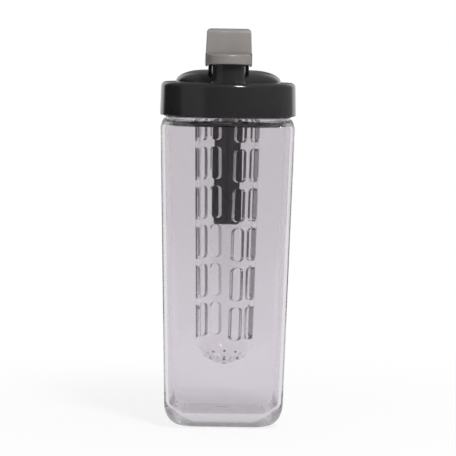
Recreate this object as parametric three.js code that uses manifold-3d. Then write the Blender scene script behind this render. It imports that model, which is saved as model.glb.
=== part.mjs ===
// A clear square infuser jug with a round screw lid, a flip cap over its pouring spout,
// a slotted infuser basket hanging from the lid, and a carrying handle behind.
// Millimetres, +Z up, the base rests on z = 0, the spout faces -Y and the handle +Y.
import * as THREE from 'three';
import { mergeVertices } from 'three/addons/utils/BufferGeometryUtils.js';
import Module from 'manifold-3d';

const wasm = await Module();
wasm.setup();

// Driving dimensions of the jug body
const jugTopSide = 85.6;
const jugBaseSide = 75.5;
const jugCornerRadius = 10;
const jugWall = 2.6;
const jugFloor = 5;
const jugHeight = 197.7;
const baseRoundWidth = 11;
const baseRoundHeight = 15.5;
const shoulderRise = 4.6;
const shoulderInnerDrop = 0.4;
const neckFlangeReach = 2.7;
const neckFlangeHeight = 1.1;
const neckRadius = 37.6;
const neckWall = 2.6;
const neckHeight = 14.2;

// Driving dimensions of the lid
const threadDepth = 1.4;
const threadClearance = 0.4;
const linerWall = 2.2;
const linerDeck = 2.2;
const linerEdge = 0.8;
const shellWall = 2;
const shellRoof = 2.2;
const shellRoofGap = 2.6;
const collarDraft = 0.5;
const collarRound = 3;
const collarGap = 1.05;
const linerDrop = 0.7;
const domeLedge = 6.5;
const domeFlatRadius = 16;
const domeRise = 7.8;
const gasketThickness = 1.8;
const gasketOverlap = 0.4;
const socketWall = 2.2;
const socketDepth = 9.9;

// Driving dimensions of the spout and its outlet
const spoutWidth = 21.4;
const spoutWall = 2;
const spoutRise = 7.7;
const spoutCorner = 3;
const spoutFlare = 1;
const spoutFlareHeight = 4;
const passageCorner = 2;
const outletSideGap = 1.1;
const outletFrontGap = 2;
const outletBackGap = 1.9;
const outletCorner = 1.5;
const outletInset = 1.6;
const spoutSealThickness = 1.2;
const spoutSealWidth = 1.8;

// Driving dimensions of the flip cap and its hinge
const hingeSetback = 3.2;
const hingeDrop = 2.1;
const hingeBarrelRadius = 4.5;
const hingeBarrelStep = 2.3;
const hingePinRadius = 1.25;
const capCheek = 1.45;
const capCheekEnd = 3;
const capCheekTurn = THREE.MathUtils.degToRad(20);
const capLipGap = 0.8;
const capLipWall = 1.5;
const capLipDrop = 3.1;
const capLipHeight = 6;
const capDeckSlope = 1.3;
const capPlate = 1.8;
const capPlateRise = 16.3;
const capPlateLean = 4;
const capPlateSetback = 11.3;
const capPlateInset = 0.6;
const capPlateTaper = 0.7;
const capPlateCorner = 2.4;
const capRimSide = 1.1;
const capTopRound = 0.6;
const capTopDrop = 2.2;
const capTopWidth = 4.6;
const capRimDepth = 2.16;
const capEdgeRound = 0.6;
const plugPad = 1.2;
const plugDepth = 1;
const plugPadOverlap = 1.1;
const plugBackOverlap = 0.8;
const plugBackClearance = 1.6;
const plugSideClearance = 0.5;

// Driving dimensions of the infuser basket
const infuserTopRadius = 21.5;
const infuserBaseRadius = 18.7;
const infuserWall = 2.5;
const infuserDomeStart = 55;
const infuserDomeHeight = 17.3;
const slotRows = 6;
const slotBridge = 4.2;
const slotWidth = 6.8;
const slotSpread = 13;
const slotCorner = 2.6;
const slotPullAngle = THREE.MathUtils.degToRad(45);
const drainRadius = 1.2;
const drainRings = [
  { count: 4, reach: 5 },
  { count: 8, reach: 12.4 },
];

// Driving dimensions of the handle
const handleWidth = 24.4;
const handleDepth = 12;
const handleWall = 2.2;
const handleBendInner = 6;
const handleReach = 25.4;
const handleDropBelowCollar = 76.5;
const handleTopDrop = 2.4;
const handleTipRound = 5;
const handleEdgeRound = 2.4;
const channelBend = 1;
const channelTipRound = 2;
const coverThickness = 1.8;
const coverTipRound = 0.6;
const tongueWidth = 14;
const tongueThickness = 3;
const tongueReach = 21;
const screwHeadRadius = 2.8;
const screwHeadHeight = 1.4;
const screwShankRadius = 1.5;
const screwBossRadius = 3.4;
const screwSpacing = 10;
const screwFirst = 7;

// Clearances, how far cuts and joins run past a face, and facet counts
const seatGap = 0.3;
const slideGap = 0.4;
const pinGap = 0.1;
const past = 5;
const farPast = 20;
const fuse = 1;
const weldDistance = 1e-4;
const jugSides = 56;
const roundSides = 48;
const basketSides = 36;
const barrelSides = 24;
const smallSides = 16;
const drainSides = 6;
const arcSteps = 5;
const bendSteps = 4;
const cornerSteps = 3;
const slotCornerSteps = 2;

// Heights and radii that follow from the driving dimensions
const neckInner = neckRadius - neckWall;
const flangeRadius = neckRadius + neckFlangeReach;
const rimZ = jugHeight + neckHeight;
const linerInner = neckRadius + threadDepth + threadClearance;
const linerOuter = linerInner + linerWall;
const collarInner = linerOuter + slideGap;
const collarRadius = collarInner + shellWall;
const domeRadius = collarRadius - collarDraft - collarRound - domeLedge;
const collarBottom = jugHeight + neckFlangeHeight + collarGap;
const deckBottom = rimZ + gasketThickness + 2 * seatGap;
const deckTop = deckBottom + linerDeck;
const roofInner = deckTop + shellRoofGap;
const collarTop = roofInner + shellRoof;
const domeTop = collarTop + domeRise;
const mouthZ = domeTop + spoutRise;
const spoutFrontRadius = collarRadius - collarDraft;
const socketInner = infuserTopRadius + slideGap;
const socketOuter = socketInner + socketWall;
const outletBackY = -(socketOuter + outletBackGap);
const outletFrontY = -(neckInner - gasketOverlap - outletFrontGap);
const outletWidth = spoutWidth - 2 * (spoutWall + outletSideGap);
const outletRound = Math.min(outletCorner, (outletBackY - outletFrontY) / 3);
const spoutBackY = outletBackY + outletInset;
const ductBottom = deckTop + spoutSealThickness + 2 * seatGap;
const hingeBarrelLength = spoutWidth + 2 * hingeBarrelStep;
const spoutMiddleY = spoutWidth / 2 - spoutFrontRadius;
const hingeY = spoutBackY + hingeSetback;
const hingeZ = mouthZ - hingeDrop;
const capInside = hingeBarrelLength + 2 * slideGap;
const capWidth = capInside + 2 * capCheek;
const capFrontY = -spoutFrontRadius - capLipGap - capLipWall;
const capLipTop = mouthZ - capLipDrop + capLipHeight;
const capFootZ = capLipTop + capDeckSlope;
const capTopZ = capLipTop + capPlateRise;
const infuserTop = deckBottom - slideGap;
const slotPitch = (deckBottom - socketDepth + slotBridge - infuserDomeStart) / slotRows;
const slotHeight = slotPitch - slotBridge;
const handleTop = collarTop - handleTopDrop;
const handleTip = collarBottom - handleDropBelowCollar;
const gripInner = Math.max(collarRadius, jugTopSide / 2) + handleReach;

// Solids

/** Turn a closed geometry into a solid that can be joined and cut. */
function solid(geometry) {
  const bare = geometry.index ? geometry.toNonIndexed() : geometry.clone();
  bare.deleteAttribute('normal');
  bare.deleteAttribute('uv');
  const merged = mergeVertices(bare, weldDistance);
  const vertProperties = new Float32Array(merged.attributes.position.array);
  const triVerts = new Uint32Array(merged.index.array);
  const made = new wasm.Manifold(new wasm.Mesh({ numProp: 3, vertProperties, triVerts }));
  if (made.volume() > 0) return made;
  for (let i = 0; i < triVerts.length; i += 3) {
    [triVerts[i], triVerts[i + 1]] = [triVerts[i + 1], triVerts[i]];
  }
  return new wasm.Manifold(new wasm.Mesh({ numProp: 3, vertProperties, triVerts }));
}

/** Turn a solid back into a geometry. */
function geometryOf(body) {
  const mesh = body.getMesh();
  const geometry = new THREE.BufferGeometry();
  geometry.setAttribute('position', new THREE.BufferAttribute(mesh.vertProperties, 3));
  geometry.setIndex(new THREE.BufferAttribute(mesh.triVerts, 1));
  geometry.computeVertexNormals();
  return geometry;
}

/** Revolve a profile of [radius, height] points about Z. */
function revolve(profile, sides = roundSides) {
  const points = profile.map(([radius, height]) => new THREE.Vector2(Math.max(radius, 0), height));
  const geometry = new THREE.LatheGeometry(points, sides);
  geometry.rotateX(Math.PI / 2);
  return solid(geometry);
}

/** A revolved ring whose profile closes on itself. */
function ring(inner, outer, bottom, top, sides = roundSides) {
  return revolve([[inner, bottom], [outer, bottom], [outer, top], [inner, top], [inner, bottom]], sides);
}

/** A round bar along Z. */
function bar(radius, bottom, top, sides = smallSides) {
  return revolve([[0, bottom], [radius, bottom], [radius, top], [0, top]], sides);
}

/** A rectangle with round corners between two opposite corners. */
function roundedRectangle(left, low, right, high, radius) {
  const shape = new THREE.Shape();
  shape.moveTo(right, high - radius);
  shape.absarc(right - radius, high - radius, radius, 0, Math.PI / 2);
  shape.absarc(left + radius, high - radius, radius, Math.PI / 2, Math.PI);
  shape.absarc(left + radius, low + radius, radius, Math.PI, 1.5 * Math.PI);
  shape.absarc(right - radius, low + radius, radius, 1.5 * Math.PI, 2 * Math.PI);
  shape.closePath();
  return shape;
}

/** An outline with a half-round front about a middle, straight sides and round back corners. */
function roundFronted(half, middle, back, corner) {
  const shape = new THREE.Shape();
  shape.moveTo(half, back - corner);
  shape.absarc(half - corner, back - corner, corner, 0, Math.PI / 2);
  shape.absarc(corner - half, back - corner, corner, Math.PI / 2, Math.PI);
  shape.absarc(0, middle, half, Math.PI, 1.5 * Math.PI);
  shape.absarc(0, middle, half, 1.5 * Math.PI, 2 * Math.PI);
  shape.closePath();
  return shape;
}

/** Extrude an outline drawn in X and Y between two heights. */
function prism(shape, bottom, top) {
  const settings = { depth: top - bottom, bevelEnabled: false, curveSegments: cornerSteps };
  const geometry = new THREE.ExtrudeGeometry(shape, settings);
  return solid(geometry.translate(0, 0, bottom));
}

/** Extrude an outline drawn in Y and Z to half the width on each side, with round edges. */
function sideExtrude(shape, width, edgeRound = 0) {
  const geometry = new THREE.ExtrudeGeometry(shape, {
    depth: width - 2 * edgeRound,
    bevelEnabled: edgeRound > 0,
    bevelThickness: edgeRound,
    bevelSize: edgeRound,
    bevelOffset: -edgeRound,
    bevelSegments: cornerSteps,
    curveSegments: bendSteps,
  });
  geometry.translate(0, 0, edgeRound - width / 2);
  const axes = [new THREE.Vector3(0, 1, 0), new THREE.Vector3(0, 0, 1), new THREE.Vector3(1, 0, 0)];
  geometry.applyMatrix4(new THREE.Matrix4().makeBasis(...axes));
  return solid(geometry);
}

/** A box between two corners. */
function block(low, high) {
  const size = high.map((value, i) => value - low[i]);
  const middle = high.map((value, i) => (value + low[i]) / 2);
  const geometry = new THREE.BoxGeometry(...size);
  return solid(geometry.translate(...middle));
}

/** A round bar along X about the hinge axis. */
function hingeBar(radius, length, sides = barrelSides) {
  return bar(radius, -length / 2, length / 2, sides).rotate(0, 90, 0).translate(0, hingeY, hingeZ);
}

/** Join many solids into one. */
function joined(bodies) {
  return bodies.reduce((sum, next) => sum.add(next));
}

/** Skin a stack of rings, each a list of points that go the same way round, and close both ends. */
function loft(rings) {
  const sides = rings[0].length;
  const points = rings.flat();
  const faces = [];
  for (let level = 0; level + 1 < rings.length; level += 1) {
    for (let i = 0; i < sides; i += 1) {
      const a = level * sides + i;
      const b = level * sides + ((i + 1) % sides);
      faces.push(a, b, b + sides, a, b + sides, a + sides);
    }
  }
  const ends = [[rings[0], 0], [rings.at(-1), (rings.length - 1) * sides]];
  ends.forEach(([end, first], order) => {
    const middle = end.reduce((sum, p) => sum.add(p), new THREE.Vector3()).divideScalar(sides);
    const hub = points.push(middle) - 1;
    for (let i = 0; i < sides; i += 1) {
      const edge = [first + i, first + ((i + 1) % sides)];
      faces.push(hub, ...(order === 0 ? edge.reverse() : edge));
    }
  });
  const geometry = new THREE.BufferGeometry().setFromPoints(points);
  geometry.setIndex(faces);
  return solid(geometry);
}

// The jug body

/** Distance from the middle to a square with round corners, along a direction. */
function roundedSquareReach(angle, half, corner) {
  const turned = Math.abs(((angle + Math.PI / 4) % (Math.PI / 2)) - Math.PI / 4);
  const flat = half - corner;
  if (Math.tan(turned) * half <= flat) return half / Math.cos(turned);
  const along = flat * (Math.cos(turned) + Math.sin(turned));
  return along + Math.sqrt(Math.max(along * along - 2 * flat * flat + corner * corner, 0));
}

/** One ring of the jug, with its points drawn together at the corners. */
function squareRing(half, corner, height) {
  const cornerCrowding = 0.55;
  return Array.from({ length: jugSides }, (_, i) => {
    const even = (2 * Math.PI * i) / jugSides;
    const angle = even + (cornerCrowding * Math.sin(4 * even)) / 4;
    const reach = roundedSquareReach(angle, half, Math.min(corner, half));
    return new THREE.Vector3(reach * Math.cos(angle), reach * Math.sin(angle), height);
  });
}

/** Half the side of the tapered jug at a height. */
function jugHalf(height) {
  const shoulderZ = jugHeight - shoulderRise;
  return (jugBaseSide + ((jugTopSide - jugBaseSide) * height) / shoulderZ) / 2;
}

/** Rings of one face of the jug's wall, from its floor up to its neck. */
function jugWallRings(inset, floorZ, neckReach, shoulderTop) {
  const rings = [];
  const corner = jugCornerRadius - inset;
  const roundHeight = baseRoundHeight - floorZ;
  for (let i = 0; i <= arcSteps; i += 1) {
    const turn = (Math.PI / 2) * (i / arcSteps);
    const height = floorZ + roundHeight * (1 - Math.cos(turn));
    const pulledIn = (baseRoundWidth - inset) * (1 - Math.sin(turn));
    rings.push(squareRing(jugHalf(height) - inset - pulledIn, corner, height));
  }
  const shoulderZ = shoulderTop - shoulderRise;
  const topHalf = jugHalf(shoulderZ) - inset;
  for (let i = 0; i <= arcSteps; i += 1) {
    const turn = (Math.PI / 2) * (i / arcSteps);
    const blend = 1 - Math.cos(turn);
    const half = topHalf + (neckReach - topHalf) * blend;
    const round = corner + (neckReach - corner) * blend;
    rings.push(squareRing(half, round, shoulderZ + shoulderRise * Math.sin(turn)));
  }
  return rings;
}

function jugBody() {
  const outside = jugWallRings(0, 0, flangeRadius, jugHeight);
  const inside = jugWallRings(jugWall, jugFloor, neckInner, jugHeight - shoulderInnerDrop);
  const flangeTop = jugHeight + neckFlangeHeight;
  const neck = [
    [flangeRadius, flangeTop],
    [neckRadius, flangeTop],
    [neckRadius, rimZ],
    [neckInner, rimZ],
  ];
  const neckRings = neck.map(([radius, height]) => squareRing(radius, radius, height));
  return loft([...outside, ...neckRings, ...inside.reverse()]);
}

// The lid's outer shell with its spout, hinge barrel and handle tongue

/** Points of a quarter ellipse from its wide side up to its top. */
function quarterEllipse(middle, base, width, height, steps = arcSteps) {
  return Array.from({ length: steps + 1 }, (_, i) => {
    const turn = (Math.PI / 2) * (i / steps);
    return [middle + width * Math.cos(turn), base + height * Math.sin(turn)];
  });
}

function lidCrown() {
  const rim = collarRadius - collarDraft;
  const insideReach = domeRadius - domeFlatRadius - shellRoof;
  const domeInside = quarterEllipse(domeFlatRadius, roofInner, insideReach, domeRise, cornerSteps);
  return revolve([
    [0, domeTop - shellRoof],
    ...domeInside.reverse(),
    [collarInner - collarDraft, roofInner],
    [collarInner, roofInner - collarRound],
    [collarInner, collarBottom],
    [collarRadius, collarBottom],
    ...quarterEllipse(rim - collarRound, collarTop - collarRound, collarRound, collarRound, cornerSteps),
    ...quarterEllipse(domeFlatRadius, collarTop, domeRadius - domeFlatRadius, domeRise),
    [0, domeTop],
  ]);
}

/** One level of the spout: its outline, widened by a margin, flush with the collar in front. */
function spoutLevel(margin, height) {
  const outline = roundFronted(
    spoutWidth / 2 + margin, spoutMiddleY, spoutBackY + margin, spoutCorner);
  const points = outline.extractPoints(cornerSteps).shape;
  return points.map((p) => new THREE.Vector3(p.x, p.y, height));
}

function spoutBlock() {
  const flareTop = collarTop + spoutFlareHeight;
  const column = loft([
    spoutLevel(spoutFlare, roofInner),
    spoutLevel(spoutFlare, collarTop),
    spoutLevel(spoutFlare / 4, collarTop + spoutFlareHeight / 2),
    spoutLevel(0, flareTop),
    spoutLevel(0, mouthZ),
  ]);
  return column.intersect(bar(spoutFrontRadius, roofInner - past, mouthZ + past, roundSides));
}

function spoutPassage() {
  const half = spoutWidth / 2 - spoutWall;
  const outline = roundFronted(half, spoutMiddleY, spoutBackY - spoutWall, passageCorner);
  return prism(outline, collarTop + seatGap, mouthZ + past);
}

/** The outlet's outline through the liner, the seal and the shell, grown by a margin. */
function outletOutline(margin) {
  const half = outletWidth / 2 + margin;
  return roundedRectangle(
    -half, outletFrontY - margin, half, outletBackY + margin, outletRound + margin);
}

/** Places of the two handle screws along Y. */
function screwPlaces() {
  const first = collarRadius + screwFirst;
  return [first, first + screwSpacing];
}

/** Heights of the handle's fastening, from the cover up to the handle's roof. */
function fasteningHeights() {
  const coverTop = handleTop - handleDepth + coverThickness;
  const headBottom = coverTop + slideGap;
  const tongueBottom = headBottom + screwHeadHeight + seatGap;
  const bossBottom = tongueBottom + tongueThickness + seatGap;
  const screwTop = handleTop - handleWall + seatGap;
  return { headBottom, tongueBottom, bossBottom, screwTop };
}

function lidShell() {
  const { tongueBottom } = fasteningHeights();
  const tongueTop = tongueBottom + tongueThickness;
  const tongueStart = collarRadius - shellWall / 2;
  const tongue = block(
    [-tongueWidth / 2, tongueStart, tongueBottom],
    [tongueWidth / 2, collarRadius + tongueReach, tongueTop]);
  const ductTop = collarTop + seatGap + fuse;
  const duct = prism(outletOutline(spoutSealWidth), ductBottom, ductTop);
  const screwHoles = screwPlaces().map((y) =>
    bar(screwShankRadius + seatGap, tongueBottom - past, tongueTop + past).translate(0, y, 0));
  return joined([lidCrown(), spoutBlock(), duct, hingeBar(hingeBarrelRadius, hingeBarrelLength), tongue])
    .subtract(spoutPassage())
    .subtract(prism(outletOutline(0), ductBottom - past, mouthZ - hingeDrop))
    .subtract(hingeBar(hingePinRadius + pinGap, hingeBarrelLength + 2 * past))
    .subtract(joined(screwHoles));
}

// The lid's threaded liner, its gasket and the spout seal

function lidLiner() {
  const cup = revolve([
    [0, deckBottom],
    [socketInner, deckBottom],
    [socketInner, deckBottom - socketDepth],
    [socketOuter, deckBottom - socketDepth],
    [socketOuter, deckBottom],
    [linerInner, deckBottom],
    [linerInner, collarBottom - linerDrop],
    [linerOuter, collarBottom - linerDrop],
    [linerOuter, deckTop - linerEdge],
    [linerOuter - linerEdge, deckTop],
    [0, deckTop],
  ]);
  return cup.subtract(prism(outletOutline(0), deckBottom - past, deckTop + past));
}

function lidGasket() {
  const bottom = rimZ + seatGap;
  return ring(neckInner - gasketOverlap, neckRadius + gasketOverlap, bottom, bottom + gasketThickness);
}

function spoutSeal() {
  const bottom = deckTop + seatGap;
  const top = bottom + spoutSealThickness;
  const hole = prism(outletOutline(0), bottom - past, top + past);
  return prism(outletOutline(spoutSealWidth), bottom, top).subtract(hole);
}

// The flip cap with its plug and hinge pin

/** The cap's outline from the side: lip, deck, thumb plate and cheeks down to the hinge. */
function capOutline() {
  const plateY = capFrontY + capPlateSetback;
  const topY = plateY + capPlateLean;
  const behindY = topY + capTopWidth;
  const shape = new THREE.Shape();
  shape.moveTo(capFrontY, mouthZ - capLipDrop);
  shape.lineTo(capFrontY, capLipTop);
  shape.lineTo(plateY, capFootZ);
  shape.lineTo(topY - capTopRound, capTopZ - capTopDrop);
  shape.quadraticCurveTo(topY, capTopZ, topY + capTopDrop, capTopZ);
  shape.quadraticCurveTo(topY + 2 * capTopDrop, capTopZ, behindY, capTopZ - capTopDrop);
  shape.lineTo(hingeY + capCheekEnd, hingeZ + capCheekEnd);
  shape.absarc(hingeY, hingeZ, capCheekEnd, capCheekTurn, -Math.PI / 2, true);
  shape.closePath();
  return shape;
}

/** The hollow behind the thumb plate, above the cap's deck. */
function capHollow() {
  const slope = capPlateLean / (capPlateRise - capDeckSlope);
  const behind = capFrontY + capPlateSetback + capPlate * Math.hypot(1, slope);
  const reachZ = capTopZ - capRimDepth;
  const shape = new THREE.Shape();
  shape.moveTo(behind, capFootZ);
  shape.lineTo(behind + (reachZ - capFootZ) * slope, reachZ);
  shape.lineTo(hingeY + farPast, reachZ);
  shape.lineTo(hingeY + farPast, capFootZ);
  shape.closePath();
  return shape;
}

/** The cap seen from the front: a full-width lip, and a plate that narrows to round top corners. */
function capFront() {
  const footHalf = capWidth / 2 - capPlateInset;
  const cornerZ = capTopZ - capPlateCorner;
  const cornerX = footHalf - capPlateTaper - capPlateCorner;
  const shape = new THREE.Shape();
  shape.moveTo(-capWidth / 2, mouthZ - farPast);
  shape.lineTo(capWidth / 2, mouthZ - farPast);
  shape.lineTo(capWidth / 2, capFootZ);
  shape.lineTo(footHalf, capFootZ);
  shape.absarc(cornerX, cornerZ, capPlateCorner, 0, Math.PI / 2);
  shape.absarc(-cornerX, cornerZ, capPlateCorner, Math.PI / 2, Math.PI);
  shape.lineTo(-footHalf, capFootZ);
  shape.lineTo(-capWidth / 2, capFootZ);
  shape.closePath();
  return shape;
}

/** A column with a half-round front that lies a wall's thickness inside the cap's lip. */
function capColumn(wall, half, bottom, top) {
  const outline = roundFronted(half, capFrontY + wall + half, hingeY + farPast, passageCorner);
  return prism(outline, bottom, top);
}

function flipCap() {
  const low = mouthZ - farPast;
  const under = mouthZ + plugPad + 2 * seatGap;
  const hollowWidth = capWidth - 2 * (capPlateInset + capPlateTaper + capRimSide);
  const front = prism(capFront(), -farPast, collarRadius + farPast).rotate(90, 0, 0);
  return sideExtrude(capOutline(), capWidth, capEdgeRound)
    .intersect(front)
    .intersect(capColumn(0, capWidth / 2, low, capTopZ + past))
    .subtract(capColumn(capLipWall, capInside / 2, low, under))
    .subtract(sideExtrude(capHollow(), hollowWidth))
    .subtract(hingeBar(hingeBarrelRadius + slideGap, capInside))
    .subtract(hingeBar(hingePinRadius + seatGap, 2 * capInside));
}

function capPlug() {
  const half = spoutWidth / 2 - spoutWall;
  const backY = spoutBackY - spoutWall;
  const bottom = mouthZ + seatGap;
  const pad = roundFronted(half + plugPadOverlap, spoutMiddleY, backY + plugBackOverlap, spoutCorner);
  const plug = roundFronted(
    half - plugSideClearance, spoutMiddleY, backY - plugBackClearance, passageCorner);
  return prism(pad, bottom, bottom + plugPad).add(prism(plug, mouthZ - plugDepth, bottom + plugPad / 2));
}

function hingePin() {
  return hingeBar(hingePinRadius, capWidth - seatGap);
}

// The infuser basket

/** One slot, cut straight out through one side of the basket along the mould's pull. */
function slotCutter(row, column, side) {
  const low = infuserDomeStart + row * slotPitch;
  const middle = column * (slotSpread / 2);
  const outline = roundedRectangle(
    middle - slotWidth / 2, low, middle + slotWidth / 2, low + slotHeight, slotCorner);
  const length = infuserTopRadius + past;
  const settings = { depth: length, bevelEnabled: false, curveSegments: slotCornerSteps };
  const geometry = new THREE.ExtrudeGeometry(outline, settings);
  const across = new THREE.Vector3(Math.cos(slotPullAngle), Math.sin(slotPullAngle), 0).multiplyScalar(side);
  const up = new THREE.Vector3(0, 0, 1);
  const pull = new THREE.Vector3().crossVectors(across, up);
  geometry.applyMatrix4(new THREE.Matrix4().makeBasis(across, up, pull));
  return solid(geometry);
}

function infuserBasket() {
  const insideTop = infuserTopRadius - infuserWall;
  const insideBase = infuserBaseRadius - infuserWall;
  const domeBottom = infuserDomeStart - infuserDomeHeight;
  const outsideDome = quarterEllipse(0, -infuserDomeStart, infuserBaseRadius, infuserDomeHeight);
  const insideDome = quarterEllipse(0, -infuserDomeStart, insideBase, infuserDomeHeight - infuserWall);
  const turnedOver = ([radius, height]) => [radius, -height];
  const tube = revolve([
    ...outsideDome.reverse().map(turnedOver),
    [infuserTopRadius, infuserTop],
    [insideTop, infuserTop],
    ...insideDome.map(turnedOver),
  ], basketSides);
  const cutters = [];
  for (let row = 0; row < slotRows; row += 1) {
    for (const column of [-1, 1]) {
      for (const side of [-1, 1]) {
        cutters.push(slotCutter(row, column, side));
      }
    }
  }
  for (const { count, reach } of drainRings) {
    for (let i = 0; i < count; i += 1) {
      const angle = (2 * Math.PI * i) / count;
      const drain = bar(drainRadius, domeBottom - past, infuserDomeStart, drainSides);
      cutters.push(drain.translate(reach * Math.sin(angle), -reach * Math.cos(angle), 0));
    }
  }
  return tube.subtract(joined(cutters));
}

// The handle, its inner cover and its screws

/** A strip of the handle seen from the side, drawn in from its outer face, inner face and tip. */
function handleStrip(fromOuter, fromInner, fromTip, tipRound) {
  const bendOuter = handleBendInner + handleDepth - fromOuter;
  const bendInner = handleBendInner + fromInner;
  const outerY = gripInner + handleDepth - fromOuter;
  const innerY = gripInner + fromInner;
  const topZ = handleTop - fromOuter;
  const underZ = handleTop - handleDepth + fromInner;
  const tipZ = handleTip + fromTip;
  const rootY = collarRadius - past;
  const shape = new THREE.Shape();
  shape.moveTo(rootY, topZ);
  shape.lineTo(outerY - bendOuter, topZ);
  shape.absarc(outerY - bendOuter, topZ - bendOuter, bendOuter, Math.PI / 2, 0, true);
  shape.absarc(outerY - tipRound, tipZ + tipRound, tipRound, 0, -Math.PI / 2, true);
  shape.absarc(innerY + tipRound, tipZ + tipRound, tipRound, -Math.PI / 2, -Math.PI, true);
  shape.absarc(innerY - bendInner, underZ - bendInner, bendInner, 0, Math.PI / 2, false);
  shape.lineTo(rootY, underZ);
  shape.closePath();
  return shape;
}

/** What the handle and its cover keep clear of: the collar and a gap round it. */
function collarClearance() {
  return bar(collarRadius + seatGap, handleTip - past, handleTop + past, roundSides);
}

function handleShell() {
  const { bossBottom, screwTop } = fasteningHeights();
  const inside = handleWidth - 2 * handleWall;
  const outer = sideExtrude(handleStrip(0, 0, 0, handleTipRound), handleWidth, handleEdgeRound);
  const throughInner = channelBend - handleBendInner;
  const channelStrip = handleStrip(handleWall, throughInner, handleWall, channelTipRound);
  const channel = sideExtrude(channelStrip, inside);
  const bosses = screwPlaces().map((y) =>
    bar(screwBossRadius, bossBottom, handleTop - handleWall / 2).translate(0, y, 0));
  const holes = screwPlaces().map((y) =>
    bar(screwShankRadius + seatGap, bossBottom - past, screwTop + seatGap).translate(0, y, 0));
  return outer
    .subtract(channel)
    .subtract(collarClearance())
    .add(joined(bosses))
    .subtract(joined(holes));
}

function handleCover() {
  const width = handleWidth - 2 * handleWall - 2 * seatGap;
  const strip = handleStrip(handleDepth - coverThickness, 0, handleWall + seatGap, coverTipRound);
  return sideExtrude(strip, width).subtract(collarClearance());
}

function handleScrew(y) {
  const { headBottom, screwTop } = fasteningHeights();
  const headTop = headBottom + screwHeadHeight;
  return revolve([
    [0, headBottom],
    [screwHeadRadius, headBottom],
    [screwHeadRadius, headTop],
    [screwShankRadius, headTop],
    [screwShankRadius, screwTop],
    [0, screwTop],
  ], smallSides).translate(0, y, 0);
}

// The assembly

const finishes = {
  clearPlastic: { color: 0xd2ced6, roughness: 0.08, metalness: 0, transparent: true, opacity: 0.4 },
  charcoalPlastic: { color: 0x313133, roughness: 0.28, metalness: 0 },
  greyPlastic: { color: 0x8e8a87, roughness: 0.4, metalness: 0 },
  darkSilicone: { color: 0x2a2a2b, roughness: 0.6, metalness: 0 },
  paleSilicone: { color: 0xd8d6d0, roughness: 0.6, metalness: 0 },
  steel: { color: 0xb9bbbd, roughness: 0.3, metalness: 1 },
};

const [firstScrew, lastScrew] = screwPlaces();
const pieces = [
  ['jug_body', jugBody(), 'clearPlastic'],
  ['infuser_basket', infuserBasket(), 'clearPlastic'],
  ['lid_shell', lidShell(), 'charcoalPlastic'],
  ['lid_liner', lidLiner(), 'charcoalPlastic'],
  ['lid_gasket', lidGasket(), 'paleSilicone'],
  ['spout_seal', spoutSeal(), 'paleSilicone'],
  ['flip_cap', flipCap(), 'greyPlastic'],
  ['cap_plug', capPlug(), 'darkSilicone'],
  ['hinge_pin', hingePin(), 'steel'],
  ['handle_shell', handleShell(), 'charcoalPlastic'],
  ['handle_cover', handleCover(), 'charcoalPlastic'],
  ['handle_screw_front', handleScrew(firstScrew), 'steel'],
  ['handle_screw_rear', handleScrew(lastScrew), 'steel'],
];

const infuserJug = new THREE.Group();
for (const [name, body, finish] of pieces) {
  const material = new THREE.MeshStandardMaterial(finishes[finish]);
  const mesh = new THREE.Mesh(geometryOf(body), material);
  mesh.name = name;
  infuserJug.add(mesh);
}

export default infuserJug;
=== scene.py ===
"""Looks of a clear square infuser jug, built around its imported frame.

Sizes are in millimetres, as on a drawing, and become metres when a mesh is made.
The spout faces -Y, the handle +Y, and the base stands on z = 0.
"""

import logging
import math
from collections.abc import Sequence
from dataclasses import dataclass
from enum import Enum

import bmesh
import bpy
from mathutils import Euler, Matrix, Vector


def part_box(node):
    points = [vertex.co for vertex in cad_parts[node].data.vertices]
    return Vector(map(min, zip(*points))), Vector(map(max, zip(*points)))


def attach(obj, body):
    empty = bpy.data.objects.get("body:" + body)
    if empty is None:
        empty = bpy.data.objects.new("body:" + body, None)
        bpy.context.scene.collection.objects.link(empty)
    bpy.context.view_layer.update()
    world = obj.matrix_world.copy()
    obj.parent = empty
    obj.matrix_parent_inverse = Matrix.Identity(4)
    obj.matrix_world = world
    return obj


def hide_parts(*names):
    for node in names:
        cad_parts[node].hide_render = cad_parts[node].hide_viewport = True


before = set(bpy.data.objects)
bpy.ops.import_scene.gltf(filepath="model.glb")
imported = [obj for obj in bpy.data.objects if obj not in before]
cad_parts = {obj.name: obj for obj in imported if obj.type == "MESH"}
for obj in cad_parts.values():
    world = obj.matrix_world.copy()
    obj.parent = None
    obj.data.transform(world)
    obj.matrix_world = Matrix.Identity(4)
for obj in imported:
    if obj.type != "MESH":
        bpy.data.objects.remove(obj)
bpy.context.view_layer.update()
log = logging.getLogger("infuser_jug")

MM = 0.001
ROUND_SIDES = 192
CORNER_STEPS = 8
EDGE_STEPS = 4
# How far a cutter reaches past what it cuts.
OVERSHOOT = 5.0
# A smaller radius is a pole, in millimetres.
POLE = 1e-6
# Closer points are one, in metres.
MERGE = 1e-7
Point = tuple[float, float]
Span = tuple[float, float]
Triple = tuple[float, float, float]
Colour = tuple[float, float, float]
Ring = list[Vector]


class Body(Enum):
    """The frame's bodies that pieces ride on."""

    JUG = "jug"
    LID_SEAL = "lid_seal"
    LID = "lid"
    CAP = "cap"
    INFUSER = "infuser"


class Slot(Enum):
    """The record's material slots."""

    CLEAR = "clear_plastic"
    CHARCOAL = "charcoal_plastic"
    GREY = "grey_plastic"
    DARK_SILICONE = "dark_silicone"
    PALE_SILICONE = "pale_silicone"
    STEEL = "steel"


class Cut(Enum):
    """Ways to combine two solids."""

    JOIN = "UNION"
    TAKE_AWAY = "DIFFERENCE"
    KEEP_COMMON = "INTERSECT"


# Node graphs


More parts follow.
